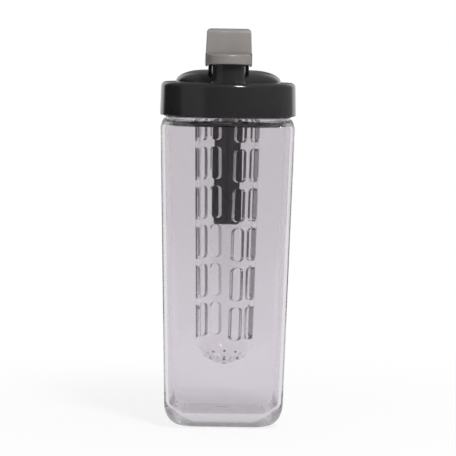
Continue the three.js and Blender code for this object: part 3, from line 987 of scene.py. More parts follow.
@dataclass
class Jug:
    """The clear square body with its round threaded neck."""

    base_side: float = 75.5
    corner: float = 10.0
    corner_crowding: float = 0.55
    sides: int = 240
    wall: float = 2.6
    body_steps: int = 14
    floor: float = 5.0
    floor_shares: Triple = (0.75, 0.5, 0.25)
    floor_inset: float = 11.3
    floor_rise: float = 12.0
    floor_crease: float = 18.0
    foot_steps: int = 16
    base_round_width: float = 11.0
    base_round_height: float = 15.5
    shoulder_rise: float = 4.6
    shoulder_inner_drop: float = 0.5
    shoulder_cone: float = 2.7
    shoulder_bend: float = 1.2
    shoulder_steps: int = 18
    flange_radius: float = 40.3
    flange_height: float = 1.1
    flange_round: float = 0.4
    neck_radius: float = 37.6
    neck_wall: float = 2.6
    neck_height: float = 14.2
    rim_round: float = 0.9
    rim_start: float = 15.0
    rim_steps: int = 6
    edge_steps: int = 5
    thread_rise: float = 4.6
    thread_pitch: float = 4.6
    thread_turns: float = 1.45
    thread_depth: float = 0.9
    thread_width: float = 2.0
    thread_flank: float = 2.2
    thread_fade: float = 0.12
    thread_steps: int = 48
    gate_radius: float = 2.4
    gate_rise: float = 0.35
    gate_steps: tuple[Point, ...] = ((1.25, 0.0), (1.0, 1.0), (0.5, 1.0))

    def __post_init__(self) -> None:
        """Take the outer sizes from the frame."""
        box = CadBox.of("jug_body")
        self.top_side = 2 * box.high.x
        self.rim_z = box.high.z
        self.flange_z = self.rim_z - self.neck_height
        self.shoulder_z = self.flange_z - self.shoulder_rise
        self.thread_low = self.flange_z + self.thread_rise
        self.neck_inner = self.neck_radius - self.neck_wall

    @staticmethod
    def reach(angle: float, half: float, corner: float) -> float:
        """Distance from the middle to a square with round corners.

        Args:
            angle: The direction.
            half: Half the square's side.
            corner: Radius of its corners.

        Returns:
            The distance.
        """
        turned = abs((angle + math.pi / 4) % (math.pi / 2) - math.pi / 4)
        flat = half - corner
        if math.tan(turned) * half <= flat:
            return half / math.cos(turned)
        along = flat * (math.cos(turned) + math.sin(turned))
        return along + math.sqrt(max(along * along - 2 * flat * flat + corner * corner, 0))

    def ring(self, half: float, corner: float, height: float, neck: float = 0.0,
             share: float = 0.0) -> Ring:
        """One ring of the body, with its points drawn together at the corners.

        Args:
            half: Half the square's side.
            corner: Radius of its corners.
            height: Height of the ring.
            neck: Radius of a circle to blend towards.
            share: Share of that circle.

        Returns:
            The ring's points.
        """
        points = []
        for even in spread(0.0, 2 * math.pi, self.sides)[:-1]:
            angle = even + self.corner_crowding * math.sin(4 * even) / 4
            reach = self.reach(angle, half, min(corner, half))
            reach += (neck - reach) * share
            points.append(Vector((reach * math.cos(angle), reach * math.sin(angle), height)))
        return points

    def circles(self, profile: Sequence[Point]) -> list[Ring]:
        """Round rings, from a radius and a height for each."""
        return [self.ring(radius, radius, height) for radius, height in profile]

    def half(self, height: float) -> float:
        """Half the tapered body's side at a height."""
        return (self.base_side + (self.top_side - self.base_side) * height / self.shoulder_z) / 2

    def wall_rings(self, draw: float, foot: Sequence[Point], neck: float,
                   shoulder: Sequence[Point]) -> list[Ring]:
        """Rings of one face of the wall, from its floor up to its neck.

        Args:
            draw: How far the face lies inside the outer one.
            foot: Steps of its rounded foot, each an inset from the wall and a height.
            neck: Radius of the round opening that it ends in.
            shoulder: Steps of its shoulder, each a share of the neck's circle and a height.

        Returns:
            The rings, from the bottom up.
        """
        corner = self.corner - draw
        low, top = foot[-1][1], shoulder[0][1]
        rings = [self.ring(self.half(height) - draw - drawn, corner, height) for drawn, height in foot]
        for height in spread(low, top, self.body_steps)[1:-1]:
            rings.append(self.ring(self.half(height) - draw, corner, height))
        half = self.half(top) - draw
        return rings + [self.ring(half, corner, height, neck, share) for share, height in shoulder]

    def outer_rings(self) -> list[Ring]:
        """The outer face, round at its foot and its shoulder.

        Returns:
            Its rings, from the bottom up.
        """
        turns = spread(0.0, math.pi / 2, self.foot_steps)
        width, height = self.base_round_width, self.base_round_height
        foot = [(width * (1 - math.sin(t)), height * (1 - math.cos(t))) for t in turns]
        shoulder = [(1 - math.cos(t), self.shoulder_z + self.shoulder_rise * math.sin(t)) for t in turns]
        return self.wall_rings(0.0, foot, self.flange_radius, shoulder)

    def inner_rings(self) -> list[Ring]:
        """The inner face, with a crease round its floor and a cone under its neck.

        Returns:
            Its rings, from the bottom up.
        """
        crease = math.radians(self.floor_crease)
        width = self.floor_inset / (1 - math.sin(crease))
        rise = self.floor_rise / math.cos(crease)
        level = self.floor + self.floor_rise
        turns = spread(crease, math.pi / 2, self.foot_steps)
        foot = [(width * (1 - math.sin(t)), level - rise * math.cos(t)) for t in turns]
        top = self.flange_z - self.shoulder_inner_drop
        cone = (0.0, top - self.shoulder_cone)
        low = (0.0, top - self.shoulder_cone - self.shoulder_bend)
        shoulder = [low, *quadratic(low, cone, (1.0, top), self.shoulder_steps)]
        return self.wall_rings(self.wall, foot, self.neck_inner, shoulder)

    def floor_rings(self, outer: Ring, height: float) -> list[Ring]:
        """Rings across a flat floor to its middle, with a small gate mark there.

        Args:
            outer: The ring round the floor.
            height: The floor's height.

        Returns:
            The rings, from the outside in.
        """
        rings = [[Vector((p.x * share, p.y * share, height)) for p in outer] for share in self.floor_shares]
        for radius, lift in self.gate_steps:
            gate = radius * self.gate_radius
            rings.append(self.ring(gate, gate, height + lift * self.gate_rise))
        return rings + [[Vector((0, 0, height + self.gate_rise))]]

    def thread_lift(self, angle: float, height: float) -> float:
        """How far the neck's thread stands out.

        Args:
            angle: Direction round the neck.
            height: Height on the neck.

        Returns:
            The lift from the neck's face.
        """
        lift = 0.0
        for turn in range(math.ceil(self.thread_turns) + 1):
            along = angle / (2 * math.pi) + turn
            if not 0 <= along <= self.thread_turns:
                continue
            fade = min(1.0, along / self.thread_fade, (self.thread_turns - along) / self.thread_fade)
            off = abs(height - self.thread_low - along * self.thread_pitch) / (self.thread_width / 2)
            flank = min(1.0, max(0.0, self.thread_flank * (1 - off)))
            lift = max(lift, self.thread_depth * fade * flank)
        return lift

    def neck_rings(self) -> list[Ring]:
        """The flange, the threaded neck and the rim.

        Returns:
            Their rings, from the flange round to the inside of the rim.
        """
        flange_top = self.flange_z + self.flange_height
        edge, rim = self.flange_round, self.rim_round
        start, end = flange_top + edge, self.rim_z - rim
        flange = arc((self.flange_radius - edge, flange_top - edge), edge, 0, 90, self.edge_steps)
        flange += arc((self.neck_radius + edge, start), edge, 270, 180, self.edge_steps)
        rings = self.circles(flange)
        for height in spread(start, end, self.thread_steps)[1:]:
            ring = self.ring(self.neck_radius, self.neck_radius, height)
            for point in ring:
                lift = self.thread_lift(math.atan2(point.y, point.x) % (2 * math.pi), height)
                point.xy *= 1 + lift / self.neck_radius
            rings.append(ring)
        lip = arc((self.neck_radius - rim, end), rim, self.rim_start, 90, self.edge_steps)
        lip += arc((self.neck_inner + rim, end), rim, 90, 180, self.rim_steps)
        return rings + self.circles(lip)

    def build(self) -> None:
        """Make the body and seat it."""
        outside = self.outer_rings()
        inside = self.inner_rings()
        under = self.floor_rings(outside[0], 0.0)
        above = self.floor_rings(inside[0], self.floor)
        rings = [*reversed(under), *outside, *self.neck_rings(), *reversed(inside), *above]
        seat(Form.from_rings(rings).piece("jug_clear_body"), JUG_CLEAR, Body.JUG, "jug_body")


# The infuser


@dataclass(frozen=True)
class SlotColumn:
    """A column of slots: its turn in degrees, its shift aside and its slots' width."""

    turn: float
    aside: float
    width: float


@dataclass(frozen=True)
class DrainRing:
    """A ring of drain holes in the domed end."""

    count: int
    radius: float


@dataclass
class Infuser:
    """The clear basket with its slots and drain holes."""

    base_radius: float = 18.7
    wall: float = 2.5
    dome_start: float = 55.0
    dome_steps: int = 24
    slot_rows: int = 6
    slot_pitch: float = 25.6
    slot_height: float = 21.4
    slot_corner: float = 2.6
    slot_columns: tuple[SlotColumn, ...] = (
        SlotColumn(45.0, -6.5, 6.8), SlotColumn(62.2, 0.0, 9.0), SlotColumn(98.0, 0.0, 6.8))
    slot_sides: Span = (0.0, 180.0)
    drain_radius: float = 1.0
    drain_depth: float = 9.0
    drain_sides: int = 20
    drain_rings: tuple[DrainRing, ...] = (DrainRing(4, 5.0), DrainRing(8, 12.4))
    rim_round: float = 0.6

    def __post_init__(self) -> None:
        """Take the outer sizes from the frame."""
        box = CadBox.of("infuser_basket")
        self.top_radius = box.high.x
        self.top_z = box.high.z
        self.dome_depth = self.dome_start - box.low.z

    def dome(self, draw: float) -> list[Point]:
        """The domed end's profile, from its wide side down.

        Args:
            draw: How far it lies inside the outer face.

        Returns:
            Radius and height of each point.
        """
        width, depth = self.base_radius - draw, self.dome_depth - draw
        profile = quarter_ellipse((0, 0), width, depth, self.dome_steps)
        return [(radius, self.dome_start - fall) for radius, fall in profile]

    def tube(self) -> Form:
        """The basket before it is pierced.

        Returns:
            The closed surface.
        """
        rim = self.rim_round
        inner = self.top_radius - self.wall
        profile = self.dome(0.0)[::-1]
        profile += arc((self.top_radius - rim, self.top_z - rim), rim, 0, 90, EDGE_STEPS)
        profile += arc((inner + rim, self.top_z - rim), rim, 90, 180, EDGE_STEPS)
        return Form.lathe(profile + self.dome(self.wall))

    def slots(self, tree: GeometryTree, low: Socket) -> list[Socket]:
        """Cutters for the slots.

        Args:
            tree: The tree that they are made in.
            low: Height of the lowest slots' feet.

        Returns:
            Both sides of each column.
        """
        reach = tree.size("Reach", self.top_radius + OVERSHOOT)
        rows = tree.size("Slot Rows", self.slot_rows)
        pitch = tree.size("Slot Pitch", self.slot_pitch)
        height = tree.size("Slot Height", self.slot_height)
        corner = tree.size("Slot Corner", self.slot_corner)
        path = tree.node("GeometryNodeCurvePrimitiveLine", None, {"End": tree.vector(z=reach)})
        cutters = []
        for number, column in enumerate(self.slot_columns, 1):
            outline = tree.node("GeometryNodeCurvePrimitiveQuadrilateral", None, {
                "Width": tree.size(f"Column {number} Width", column.width), "Height": height})
            rounded = tree.node("GeometryNodeFilletCurve", {"mode": "POLY"}, {
                "Curve": outline, "Count": CORNER_STEPS, "Radius": corner})
            start = tree.vector(tree.size(f"Column {number} Aside", column.aside), low + height / 2)
            places = tree.row(rows, start, tree.vector(y=pitch))
            slots = tree.copies(places, tree.swept(path, rounded))
            cutters += [tree.moved(slots, turn=(90, 0, column.turn + side)) for side in self.slot_sides]
        return cutters

    def drains(self, tree: GeometryTree, low: Socket) -> list[Socket]:
        """Cutters for the drain holes, square to the domed end.

        Args:
            tree: The tree that they are made in.
            low: Height where the dome starts.

        Returns:
            One cutter for each ring.
        """
        drain = tree.node("GeometryNodeMeshCylinder", None, {
            "Vertices": self.drain_sides, "Radius": tree.size("Drain Radius", self.drain_radius),
            "Depth": tree.size("Drain Depth", self.drain_depth)})
        place = tree.node("GeometryNodeInputPosition")
        cutters = []
        for number, drains in enumerate(self.drain_rings, 1):
            ring = tree.node("GeometryNodeMeshCircle", None, {
                "Vertices": tree.size(f"Drain Ring {number} Count", drains.count),
                "Radius": tree.size(f"Drain Ring {number} Radius", drains.radius)})
            fall = self.dome_depth * math.sqrt(1 - (drains.radius / self.base_radius) ** 2)
            lean = tree.size(f"Drain Ring {number} Lean", fall * (self.base_radius / self.dome_depth) ** 2)
            outward = tree.vectors("SUBTRACT", place, tree.vector(z=lean))
            turn = tree.node("FunctionNodeAlignRotationToVector", {"axis": "Z"}, {"Vector": outward})
            level = tree.vector(z=low - tree.size(f"Drain Ring {number} Fall", fall))
            cutters.append(tree.moved(tree.copies(ring, drain, turn), level))
        return cutters

    def build(self) -> None:
        """Make the basket, pierce it with Geometry Nodes and seat it."""
        piece = self.tube().piece("infuser_clear_basket")
        tree = GeometryTree("basket_piercing")
        low = tree.size("First Slot", self.dome_start)
        cutters = tree.joined(*self.slots(tree, low), *self.drains(tree, low))
        tree.run(piece, tree.combined(tree.geometry, cutters, Cut.TAKE_AWAY), BASKET_CLEAR.material())
        seat(piece, BASKET_CLEAR, Body.INFUSER, "infuser_basket")


# The lid


@dataclass(frozen=True)
class ScrewFit:
    """Where the handle's screws stand, and the bores round them."""

    places: Span = (51.0, 61.0)
    bore: float = 1.8
    sides: int = 32


SCREWS = ScrewFit()


@dataclass
class Lid:
    """The charcoal shell with its spout, the threaded liner and the seals."""

    shell_wall: float = 2.0
    roof: float = 2.2
    collar_draft: float = 0.5
    collar_round: float = 3.0
    collar_steps: int = 12
    edge_round: float = 0.5
    dome_radius: float = 34.0
    dome_flat: float = 16.0
    dome_rise: float = 7.8
    dome_foot_turn: float = 195.0
    dome_steps: int = 28
    roof_steps: int = 16
    hinge_drop: float = 2.1
    spout_rise: float = 7.7
    spout_setback: float = 1.5
    spout_width: float = 21.4
    spout_back: float = -24.4
    spout_wall: float = 2.0
    spout_corner: float = 3.0
    spout_flare: float = 1.6
    spout_flare_height: float = 4.6
    spout_flare_steps: int = 10
    passage_corner: float = 2.0
    passage_step: float = 0.3
    outlet_low: Point = (-7.6, -32.6)
    outlet_high: Point = (7.6, -26.0)
    outlet_corner: float = 1.5
    duct_margin: float = 1.8
    duct_rise: float = 1.8
    duct_overlap: float = 1.0
    barrel_radius: float = 4.5
    barrel_length: float = 26.0
    barrel_edge: float = 0.5
    post_front: float = 3.6
    post_back: float = 2.4
    pin_bore: float = 1.35
    pin_bore_edge: float = 0.2
    pin_edge: float = 0.5
    tongue_low: Point = (-7.0, 43.0)
    tongue_high: Point = (7.0, 65.0)
    tongue_corner: float = 1.0
    tongue_edge: float = 0.4
    tongue_rise: float = 1.7
    tongue_thickness: float = 3.0
    liner_inner: float = 39.4
    liner_outer: float = 41.6
    liner_edge: float = 0.8
    liner_foot_edge: float = 0.4
    liner_foot_steps: int = 3
    deck: float = 2.2
    socket_inner: float = 21.9
    socket_outer: float = 24.1
    socket_depth: float = 9.9
    ridge_radius: float = 0.7
    ridge_turns: float = 1.4
    ridge_height: float = 6.4
    ridge_rise: float = 4.2
    ridge_steps: int = 96
    ridge_sides: int = 14
    gasket_inner: float = 34.6
    gasket_round: float = 0.7
    gasket_steps: int = 5
    seal_edge: float = 0.3

    def __post_init__(self) -> None:
        """Take the outer sizes from the frame."""
        box = CadBox.of("lid_shell")
        self.collar_radius = box.high.x
        self.collar_bottom = box.low.z
        self.collar_inner = self.collar_radius - self.shell_wall
        self.front_radius = self.collar_radius - self.collar_draft
        self.spout_front = self.front_radius - self.spout_setback
        self.spout_middle = self.spout_width / 2 - self.spout_front
        self.hinge = hinge_line()
        self.mouth_z = self.hinge[1] + self.hinge_drop
        self.dome_top = self.mouth_z - self.spout_rise
        self.collar_top = self.dome_top - self.dome_rise
        self.roof_inner = self.collar_top - self.roof
        self.passage_floor = self.collar_top + self.passage_step
        self.deck_top = CadBox.of("lid_liner").high.z
        self.deck_bottom = self.deck_top - self.deck
        self.duct_bottom = self.deck_top + self.duct_rise
        self.tongue_bottom = CadBox.of("handle_screw_front").low.z + self.tongue_rise
        self.tongue_top = self.tongue_bottom + self.tongue_thickness

    @staticmethod
    def foot(inner: float, outer: float, low: float, edge: float, steps: int) -> list[Point]:
        """The round lower edges of a wall, from its inner face to its outer one."""
        inside = arc((inner + edge, low + edge), edge, 180, 270, steps)
        return inside + arc((outer - edge, low + edge), edge, 270, 360, steps)

    def crown(self) -> Form:
        """The collar and the low dome.

        Returns:
            The closed surface.
        """
        edge, soft = self.edge_round, self.collar_round
        reach = self.dome_radius - self.dome_flat
        low, top = (self.dome_flat, self.roof_inner), (self.dome_flat, self.collar_top)
        inside = quarter_ellipse(low, reach - self.roof, self.dome_rise, self.roof_steps)
        outside = quarter_ellipse(top, reach, self.dome_rise, self.dome_steps)
        profile = [(0.0, self.dome_top - self.roof), *reversed(inside)]
        profile += [(self.collar_inner - self.collar_draft, self.roof_inner)]
        profile += [(self.collar_inner, self.roof_inner - soft)]
        profile += self.foot(self.collar_inner, self.collar_radius, self.collar_bottom, edge, EDGE_STEPS)
        rim, nook = self.front_radius - soft, self.dome_radius + edge
        profile += arc((rim, self.collar_top - soft), soft, 0, 90, self.collar_steps)
        profile += arc((nook, self.collar_top + edge), edge, 270, self.dome_foot_turn, EDGE_STEPS)
        profile += [p for p in outside if p[1] > self.collar_top + edge]
        return Form.lathe([*profile, (0.0, self.dome_top)])

    def spout_ring(self, margin: float, height: float) -> Ring:
        """One level of the spout.

        Args:
            margin: How far it is grown at its sides and back.
            height: Its height.

        Returns:
            The ring's points.
        """
        half = self.spout_width / 2 + margin
        outline = round_fronted(half, self.spout_middle, self.spout_back + margin, self.spout_corner)
        points = []
        for x, y in outline:
            share = min(1.0, self.spout_front / math.hypot(x, y))
            points.append(Vector((x * share, y * share, height)))
        return points

    def spout(self) -> Form:
        """The spout's column, flared where it meets the dome and soft at its mouth.

        Returns:
            The closed surface.
        """
        lip = self.edge_round
        levels = [(self.spout_flare, self.roof_inner)]
        for turn in spread(0.0, math.pi / 2, self.spout_flare_steps):
            rise = self.spout_flare_height * (1 - math.cos(turn))
            levels.append((self.spout_flare * (1 - math.sin(turn)), self.collar_top + rise))
        mouth = arc((lip, 0.0), lip, 180, 90, EDGE_STEPS)
        levels += [(-draw, self.mouth_z - lip + rise) for draw, rise in mouth]
        return Form.from_rings([self.spout_ring(margin, height) for margin, height in levels])

    def passage(self) -> Form:
        """The hollow inside the spout.

        Returns:
            The solid to take away.
        """
        half = self.spout_width / 2 - self.spout_wall
        back = self.spout_back - self.spout_wall
        outline = round_fronted(half, self.spout_middle, back, self.passage_corner)
        return Form.prism(outline, self.passage_floor, self.mouth_z + OVERSHOOT)

    def outlet(self, margin: float, low: float, high: float) -> Form:
        """A column through the outlet.

        Args:
            margin: How far it is grown on all sides.
            low: Height of its lower end.
            high: Height of its upper end.

        Returns:
            The closed surface.
        """
        grow = Vector((margin, margin))
        corners = [tuple(Vector(self.outlet_low) - grow), tuple(Vector(self.outlet_high) + grow)]
        return Form.prism(rounded_rectangle(*corners, self.outlet_corner + margin), low, high)

    def hinge_post(self) -> Form:
        """The post that carries the hinge barrel over the dome.

        Returns:
            The closed surface.
        """
        half = self.barrel_length / 2
        low, high = (-half, self.hinge[0] - self.post_front), (half, self.hinge[0] + self.post_back)
        outline = rounded_rectangle(low, high, self.barrel_edge)
        return Form.prism(outline, self.dome_top - self.roof / 2, self.hinge[1])

    def build_shell(self) -> None:
        """Make the shell and seat it."""
        piece = self.crown().piece("lid_gloss_shell")
        tongue = rounded_rectangle(self.tongue_low, self.tongue_high, self.tongue_corner)
        combine(
            piece, Cut.JOIN,
            self.spout(),
            self.outlet(self.duct_margin, self.duct_bottom, self.passage_floor + self.duct_overlap),
            hinge_rod(self.barrel_radius, self.barrel_length, self.barrel_edge),
            self.hinge_post(),
            Form.prism(tongue, self.tongue_bottom, self.tongue_top, self.tongue_edge))
        low, high = self.tongue_bottom - OVERSHOOT, self.tongue_top + OVERSHOOT
        bore = Form.rod(SCREWS.bore, low, high, sides=SCREWS.sides)
        combine(
            piece, Cut.TAKE_AWAY,
            self.passage(),
            self.outlet(0.0, self.duct_bottom - OVERSHOOT, self.hinge[1]),
            hinge_rod(self.pin_bore, self.barrel_length + 2 * OVERSHOOT, self.pin_bore_edge),
            *[bore.moved_back(y) for y in SCREWS.places])
        seat(piece, CHARCOAL, Body.LID, "lid_shell")

    def build_liner(self) -> None:
        """Make the liner, with its thread laid by Geometry Nodes, and seat it."""
        box = CadBox.of("lid_liner")
        edge, steps = self.liner_foot_edge, self.liner_foot_steps
        socket_foot = self.deck_bottom - self.socket_depth
        profile = [(0.0, self.deck_bottom), (self.socket_inner, self.deck_bottom)]
        profile += self.foot(self.socket_inner, self.socket_outer, socket_foot, edge, steps)
        profile += [(self.socket_outer, self.deck_bottom), (self.liner_inner, self.deck_bottom)]
        profile += self.foot(self.liner_inner, self.liner_outer, box.low.z, edge, steps)
        profile += [(self.liner_outer, box.high.z - self.liner_edge)]
        profile += [(self.liner_outer - self.liner_edge, box.high.z), (0.0, box.high.z)]
        piece = Form.lathe(profile).piece("lid_threaded_liner")
        outlet = self.outlet(0.0, self.deck_bottom - OVERSHOOT, box.high.z + OVERSHOOT)
        combine(piece, Cut.TAKE_AWAY, outlet)
        tree = GeometryTree("liner_thread")
        ridge = tree.thread(
            tree.size("Thread Reach", self.liner_inner), tree.size("Thread Height", self.ridge_height),
            self.ridge_turns, self.ridge_steps, tree.size("Ridge Radius", self.ridge_radius),
            self.ridge_sides)
        raised = tree.moved(ridge, tree.vector(z=tree.size("Thread Low", box.low.z + self.ridge_rise)))
        tree.run(piece, tree.combined(tree.geometry, raised, Cut.JOIN), LINER_CHARCOAL.material())
        seat(piece, LINER_CHARCOAL, Body.LID, "lid_liner")

    def build_seals(self) -> None:
        """Make the gasket over the neck's rim and the seal under the spout."""
        box = CadBox.of("lid_gasket")
        low, high = (self.gasket_inner, box.low.z), (box.high.x, box.high.z)
        outline = rounded_rectangle(low, high, self.gasket_round, self.gasket_steps)
        gasket = Form.lathe(outline, looped=True).piece("lid_rim_gasket")
        seat(gasket, PALE_SILICONE, Body.LID_SEAL, "lid_gasket")
        box = CadBox.of("spout_seal")
        corners = [tuple(box.low.xy), tuple(box.high.xy)]
        outline = rounded_rectangle(*corners, self.outlet_corner + self.duct_margin)
        seal = Form.prism(outline, box.low.z, box.high.z, self.seal_edge).piece("spout_outlet_seal")
        combine(seal, Cut.TAKE_AWAY, self.outlet(0.0, box.low.z - OVERSHOOT, box.high.z + OVERSHOOT))
        seat(seal, PALE_SILICONE, Body.LID, "spout_seal")

    def build_pin(self) -> None:
        """Make the hinge pin, with soft ends."""
        box = CadBox.of("hinge_pin")
        pin = hinge_rod(box.high.z - self.hinge[1], box.width, self.pin_edge).piece("cap_hinge_pin")
        seat(pin, STEEL, Body.LID, "hinge_pin")

    def build(self) -> None:
        """Make every piece of the lid."""
        self.build_shell()
        self.build_liner()
        self.build_seals()
        self.build_pin()


# The flip cap


@dataclass
class FlipCap:
    """The warm grey cap with a half-round lip, a thumb plate and a soft plug."""

    lip_drop: float = 1.0
    lip_height: float = 6.0
    lip_wall: float = 1.5
    lip_top_round: float = 1.3
    lip_bottom_round: float = 0.8
    lip_fall: float = 0.08
    lip_corner: float = 0.5
    lip_overlap: float = 0.2
    lip_steps: int = 6
    deck_slope: float = 0.3
    deck_rise: float = 3.9
    plate: float = 1.8
    plate_lean: float = 4.0
    plate_setback: float = 11.3
    plate_inset: float = 0.2
    plate_taper: float = 0.6
    plate_corner: float = 2.4
    plate_slices: int = 6
    plate_slice: float = 2.0
    foot_slice: float = 0.02
    corner_slices: int = 8
    top_round: float = 0.9
    top_drop: float = 3.2
    top_width: float = 4.6
    top_pull: float = 0.1
    crest_share: float = 0.7
    crest_steps: int = 12
    behind_share: float = 0.6
    behind_steps: int = 8
    rim_depth: float = 2.16
    rim_side: float = 1.1
    cheek: float = 1.45
    cheek_end: float = 3.0
    cheek_turn: float = 20.0
    cheek_steps: int = 12
    edge: float = 0.8
    rear_reach: float = 20.0
    column_corner: float = 2.0
    barrel_clear: float = 4.9
    pin_bore: float = 1.55
    pad_rise: float = 2.4
    pad_corner: float = 3.0
    pad_round: float = 0.3
    plug_side: float = 1.6
    plug_setback: float = 1.5
    plug_back: float = 2.4
    plug_corner: float = 2.0
    plug_overlap: float = 0.6

    def __post_init__(self) -> None:
        """Take the outer sizes from the frame."""
        box = CadBox.of("flip_cap")
        self.hinge = hinge_line()
        self.front = box.low.y
        self.top_z = box.high.z
        self.width = box.width
        self.inside = self.width - 2 * self.cheek
        self.middle = self.front + self.width / 2
        self.rear = self.hinge[0] + self.rear_reach
        self.lip_bottom = self.hinge[1] - self.lip_drop
        self.lip_top = self.lip_bottom + self.lip_height
        self.foot_z = self.lip_top + self.deck_slope
        self.deck_bottom = self.hinge[1] + self.deck_rise
        self.plate_y = self.front + self.plate_setback
        self.cut_low = self.lip_bottom - 3 * OVERSHOOT
        self.cut_high = self.top_z + OVERSHOOT

    def outline(self) -> list[Point]:
        """The cap from the side: deck, thumb plate and cheeks down to the hinge.

        Returns:
            The outline's points in Y and Z.
        """
        top_y = self.plate_y + self.plate_lean
        shoulder = (top_y - self.top_round, self.top_z - self.top_drop)
        crest = (top_y + self.top_drop * self.crest_share, self.top_z)
        behind = (top_y + self.top_width, self.top_z - self.top_drop * self.behind_share)
        points = [(self.front, self.lip_bottom), (self.front, self.lip_top)]
        points += [(self.plate_y, self.foot_z), shoulder]
        points += quadratic(shoulder, (top_y - self.top_pull, self.top_z), crest, self.crest_steps)
        points += quadratic(crest, (behind[0], self.top_z), behind, self.behind_steps)
        return points + arc(self.hinge, self.cheek_end, self.cheek_turn, -90, self.cheek_steps)

    def lip(self) -> Form:
        """The half-round front of the cap, with soft edges above and below.

        Returns:
            The closed surface.
        """
        back = self.plate_y + self.plate / 2
        outline = round_fronted(self.width / 2, self.middle, back, self.lip_corner)
        turns = spread(0.0, math.pi / 2, self.lip_steps)
        low, high = self.lip_bottom_round, self.lip_top_round
        rise = self.deck_slope / self.plate_setback
        lower = [(low * (1 - math.sin(t)), low * (1 - math.cos(t))) for t in reversed(turns)]
        upper = [(-high * (1 - math.sin(t)), high * (1 - math.cos(t))) for t in turns]
        rings = []
        for level, slope, edges in ((self.lip_bottom, -self.lip_fall, lower), (self.lip_top, rise, upper)):
            for lift, draw in edges:
                points = inset(outline, draw)
                rings.append([Vector((x, y, level + slope * (y - self.front) + lift)) for x, y in points])
        return Form.from_rings(rings)

    def hollow(self) -> Form:
        """The hollow behind the thumb plate, above the deck.

        Returns:
            The solid to take away.
        """
        slope = self.plate_lean / (self.top_z - self.foot_z)
        behind = self.plate_y + self.plate * math.hypot(1, slope)
        reach = self.top_z - self.rim_depth
        leaning = (behind + (reach - self.foot_z) * slope, reach)
        outline = [(behind, self.foot_z), leaning, (self.rear, reach), (self.rear, self.foot_z)]
        return Form.side_extrusion(
            outline, self.width - 2 * (self.plate_inset + self.plate_taper + self.rim_side))

    def narrowing(self, height: float) -> float:
        """Share of the full width: a tapered plate with round top corners.

        Args:
            height: Height on the cap.

        Returns:
            The share, which is 1 below the plate.
        """
        if height <= self.foot_z + self.foot_slice / 2:
            return 1.0
        up = (height - self.foot_z) / (self.top_z - self.foot_z)
        half = self.width / 2 - self.plate_inset - self.plate_taper * up
        over = height - (self.top_z - self.plate_corner)
        if over > 0:
            half -= self.plate_corner - math.sqrt(max(self.plate_corner ** 2 - over ** 2, 0.0))
        return half / (self.width / 2)

    def narrow(self, piece: bpy.types.Object) -> None:
        """Slice the thumb plate across and draw its sides in level by level.

        Args:
            piece: The cap.
        """
        work = bmesh.new()
        work.from_mesh(piece.data)
        rises = [self.foot_slice] + [self.plate_slice * (i + 1) for i in range(self.plate_slices)]
        drops = [self.plate_corner * (1 - i / self.corner_slices) for i in range(self.corner_slices)]
        for level in [self.foot_z + rise for rise in rises] + [self.top_z - drop for drop in drops]:
            everything = [*work.verts, *work.edges, *work.faces]
            bmesh.ops.bisect_plane(work, geom=everything, plane_co=(0, 0, level * MM), plane_no=(0, 0, 1))
        for vertex in work.verts:
            vertex.co.x *= self.narrowing(vertex.co.z / MM)
        work.to_mesh(piece.data)
        work.free()

    def column(self, wall: float, half: float, top: float) -> Form:
        """A column with a half-round front, inside the lip by a wall's thickness."""
        outline = round_fronted(half, self.front + wall + half, self.rear, self.column_corner)
        return Form.prism(outline, self.cut_low, top)

    def build_cap(self) -> None:
        """Make the cap and seat it."""
        piece = Form.side_extrusion(self.outline(), self.width, self.edge).piece("flip_cap_satin")
        self.narrow(piece)
        start = self.plate_y + self.lip_overlap
        behind_lip = [
            (-self.width, start), (self.width, start), (self.width, self.rear), (-self.width, self.rear)]
        combine(
            piece, Cut.KEEP_COMMON,
            Form.prism(behind_lip, self.cut_low, self.cut_high),
            self.column(0.0, self.width / 2, self.cut_high))
        combine(piece, Cut.JOIN, self.lip())
        combine(
            piece, Cut.TAKE_AWAY,
            self.column(self.lip_wall, self.inside / 2, self.deck_bottom),
            self.hollow(),
            hinge_rod(self.barrel_clear, self.inside),
            hinge_rod(self.pin_bore, 2 * self.width))
        seat(piece, WARM_GREY, Body.CAP, "flip_cap")

    def build_plug(self) -> None:
        """Make the soft plug and its pad under the cap's deck."""
        box = CadBox.of("cap_plug")
        half = box.high.x
        middle = box.low.y + half
        pad_low = self.hinge[1] + self.pad_rise
        pad = round_fronted(half, middle, box.high.y, self.pad_corner)
        piece = Form.prism(pad, pad_low, box.high.z, self.pad_round).piece("cap_soft_plug")
        back = box.high.y - self.plug_back
        plug = round_fronted(half - self.plug_side, middle + self.plug_setback, back, self.plug_corner)
        combine(
            piece, Cut.JOIN, Form.prism(plug, box.low.z, pad_low + self.plug_overlap, self.pad_round))
        seat(piece, DARK_SILICONE, Body.CAP, "cap_plug")

    def build(self) -> None:
        """Make the cap and its plug."""
        self.build_cap()
        self.build_plug()


# The handle


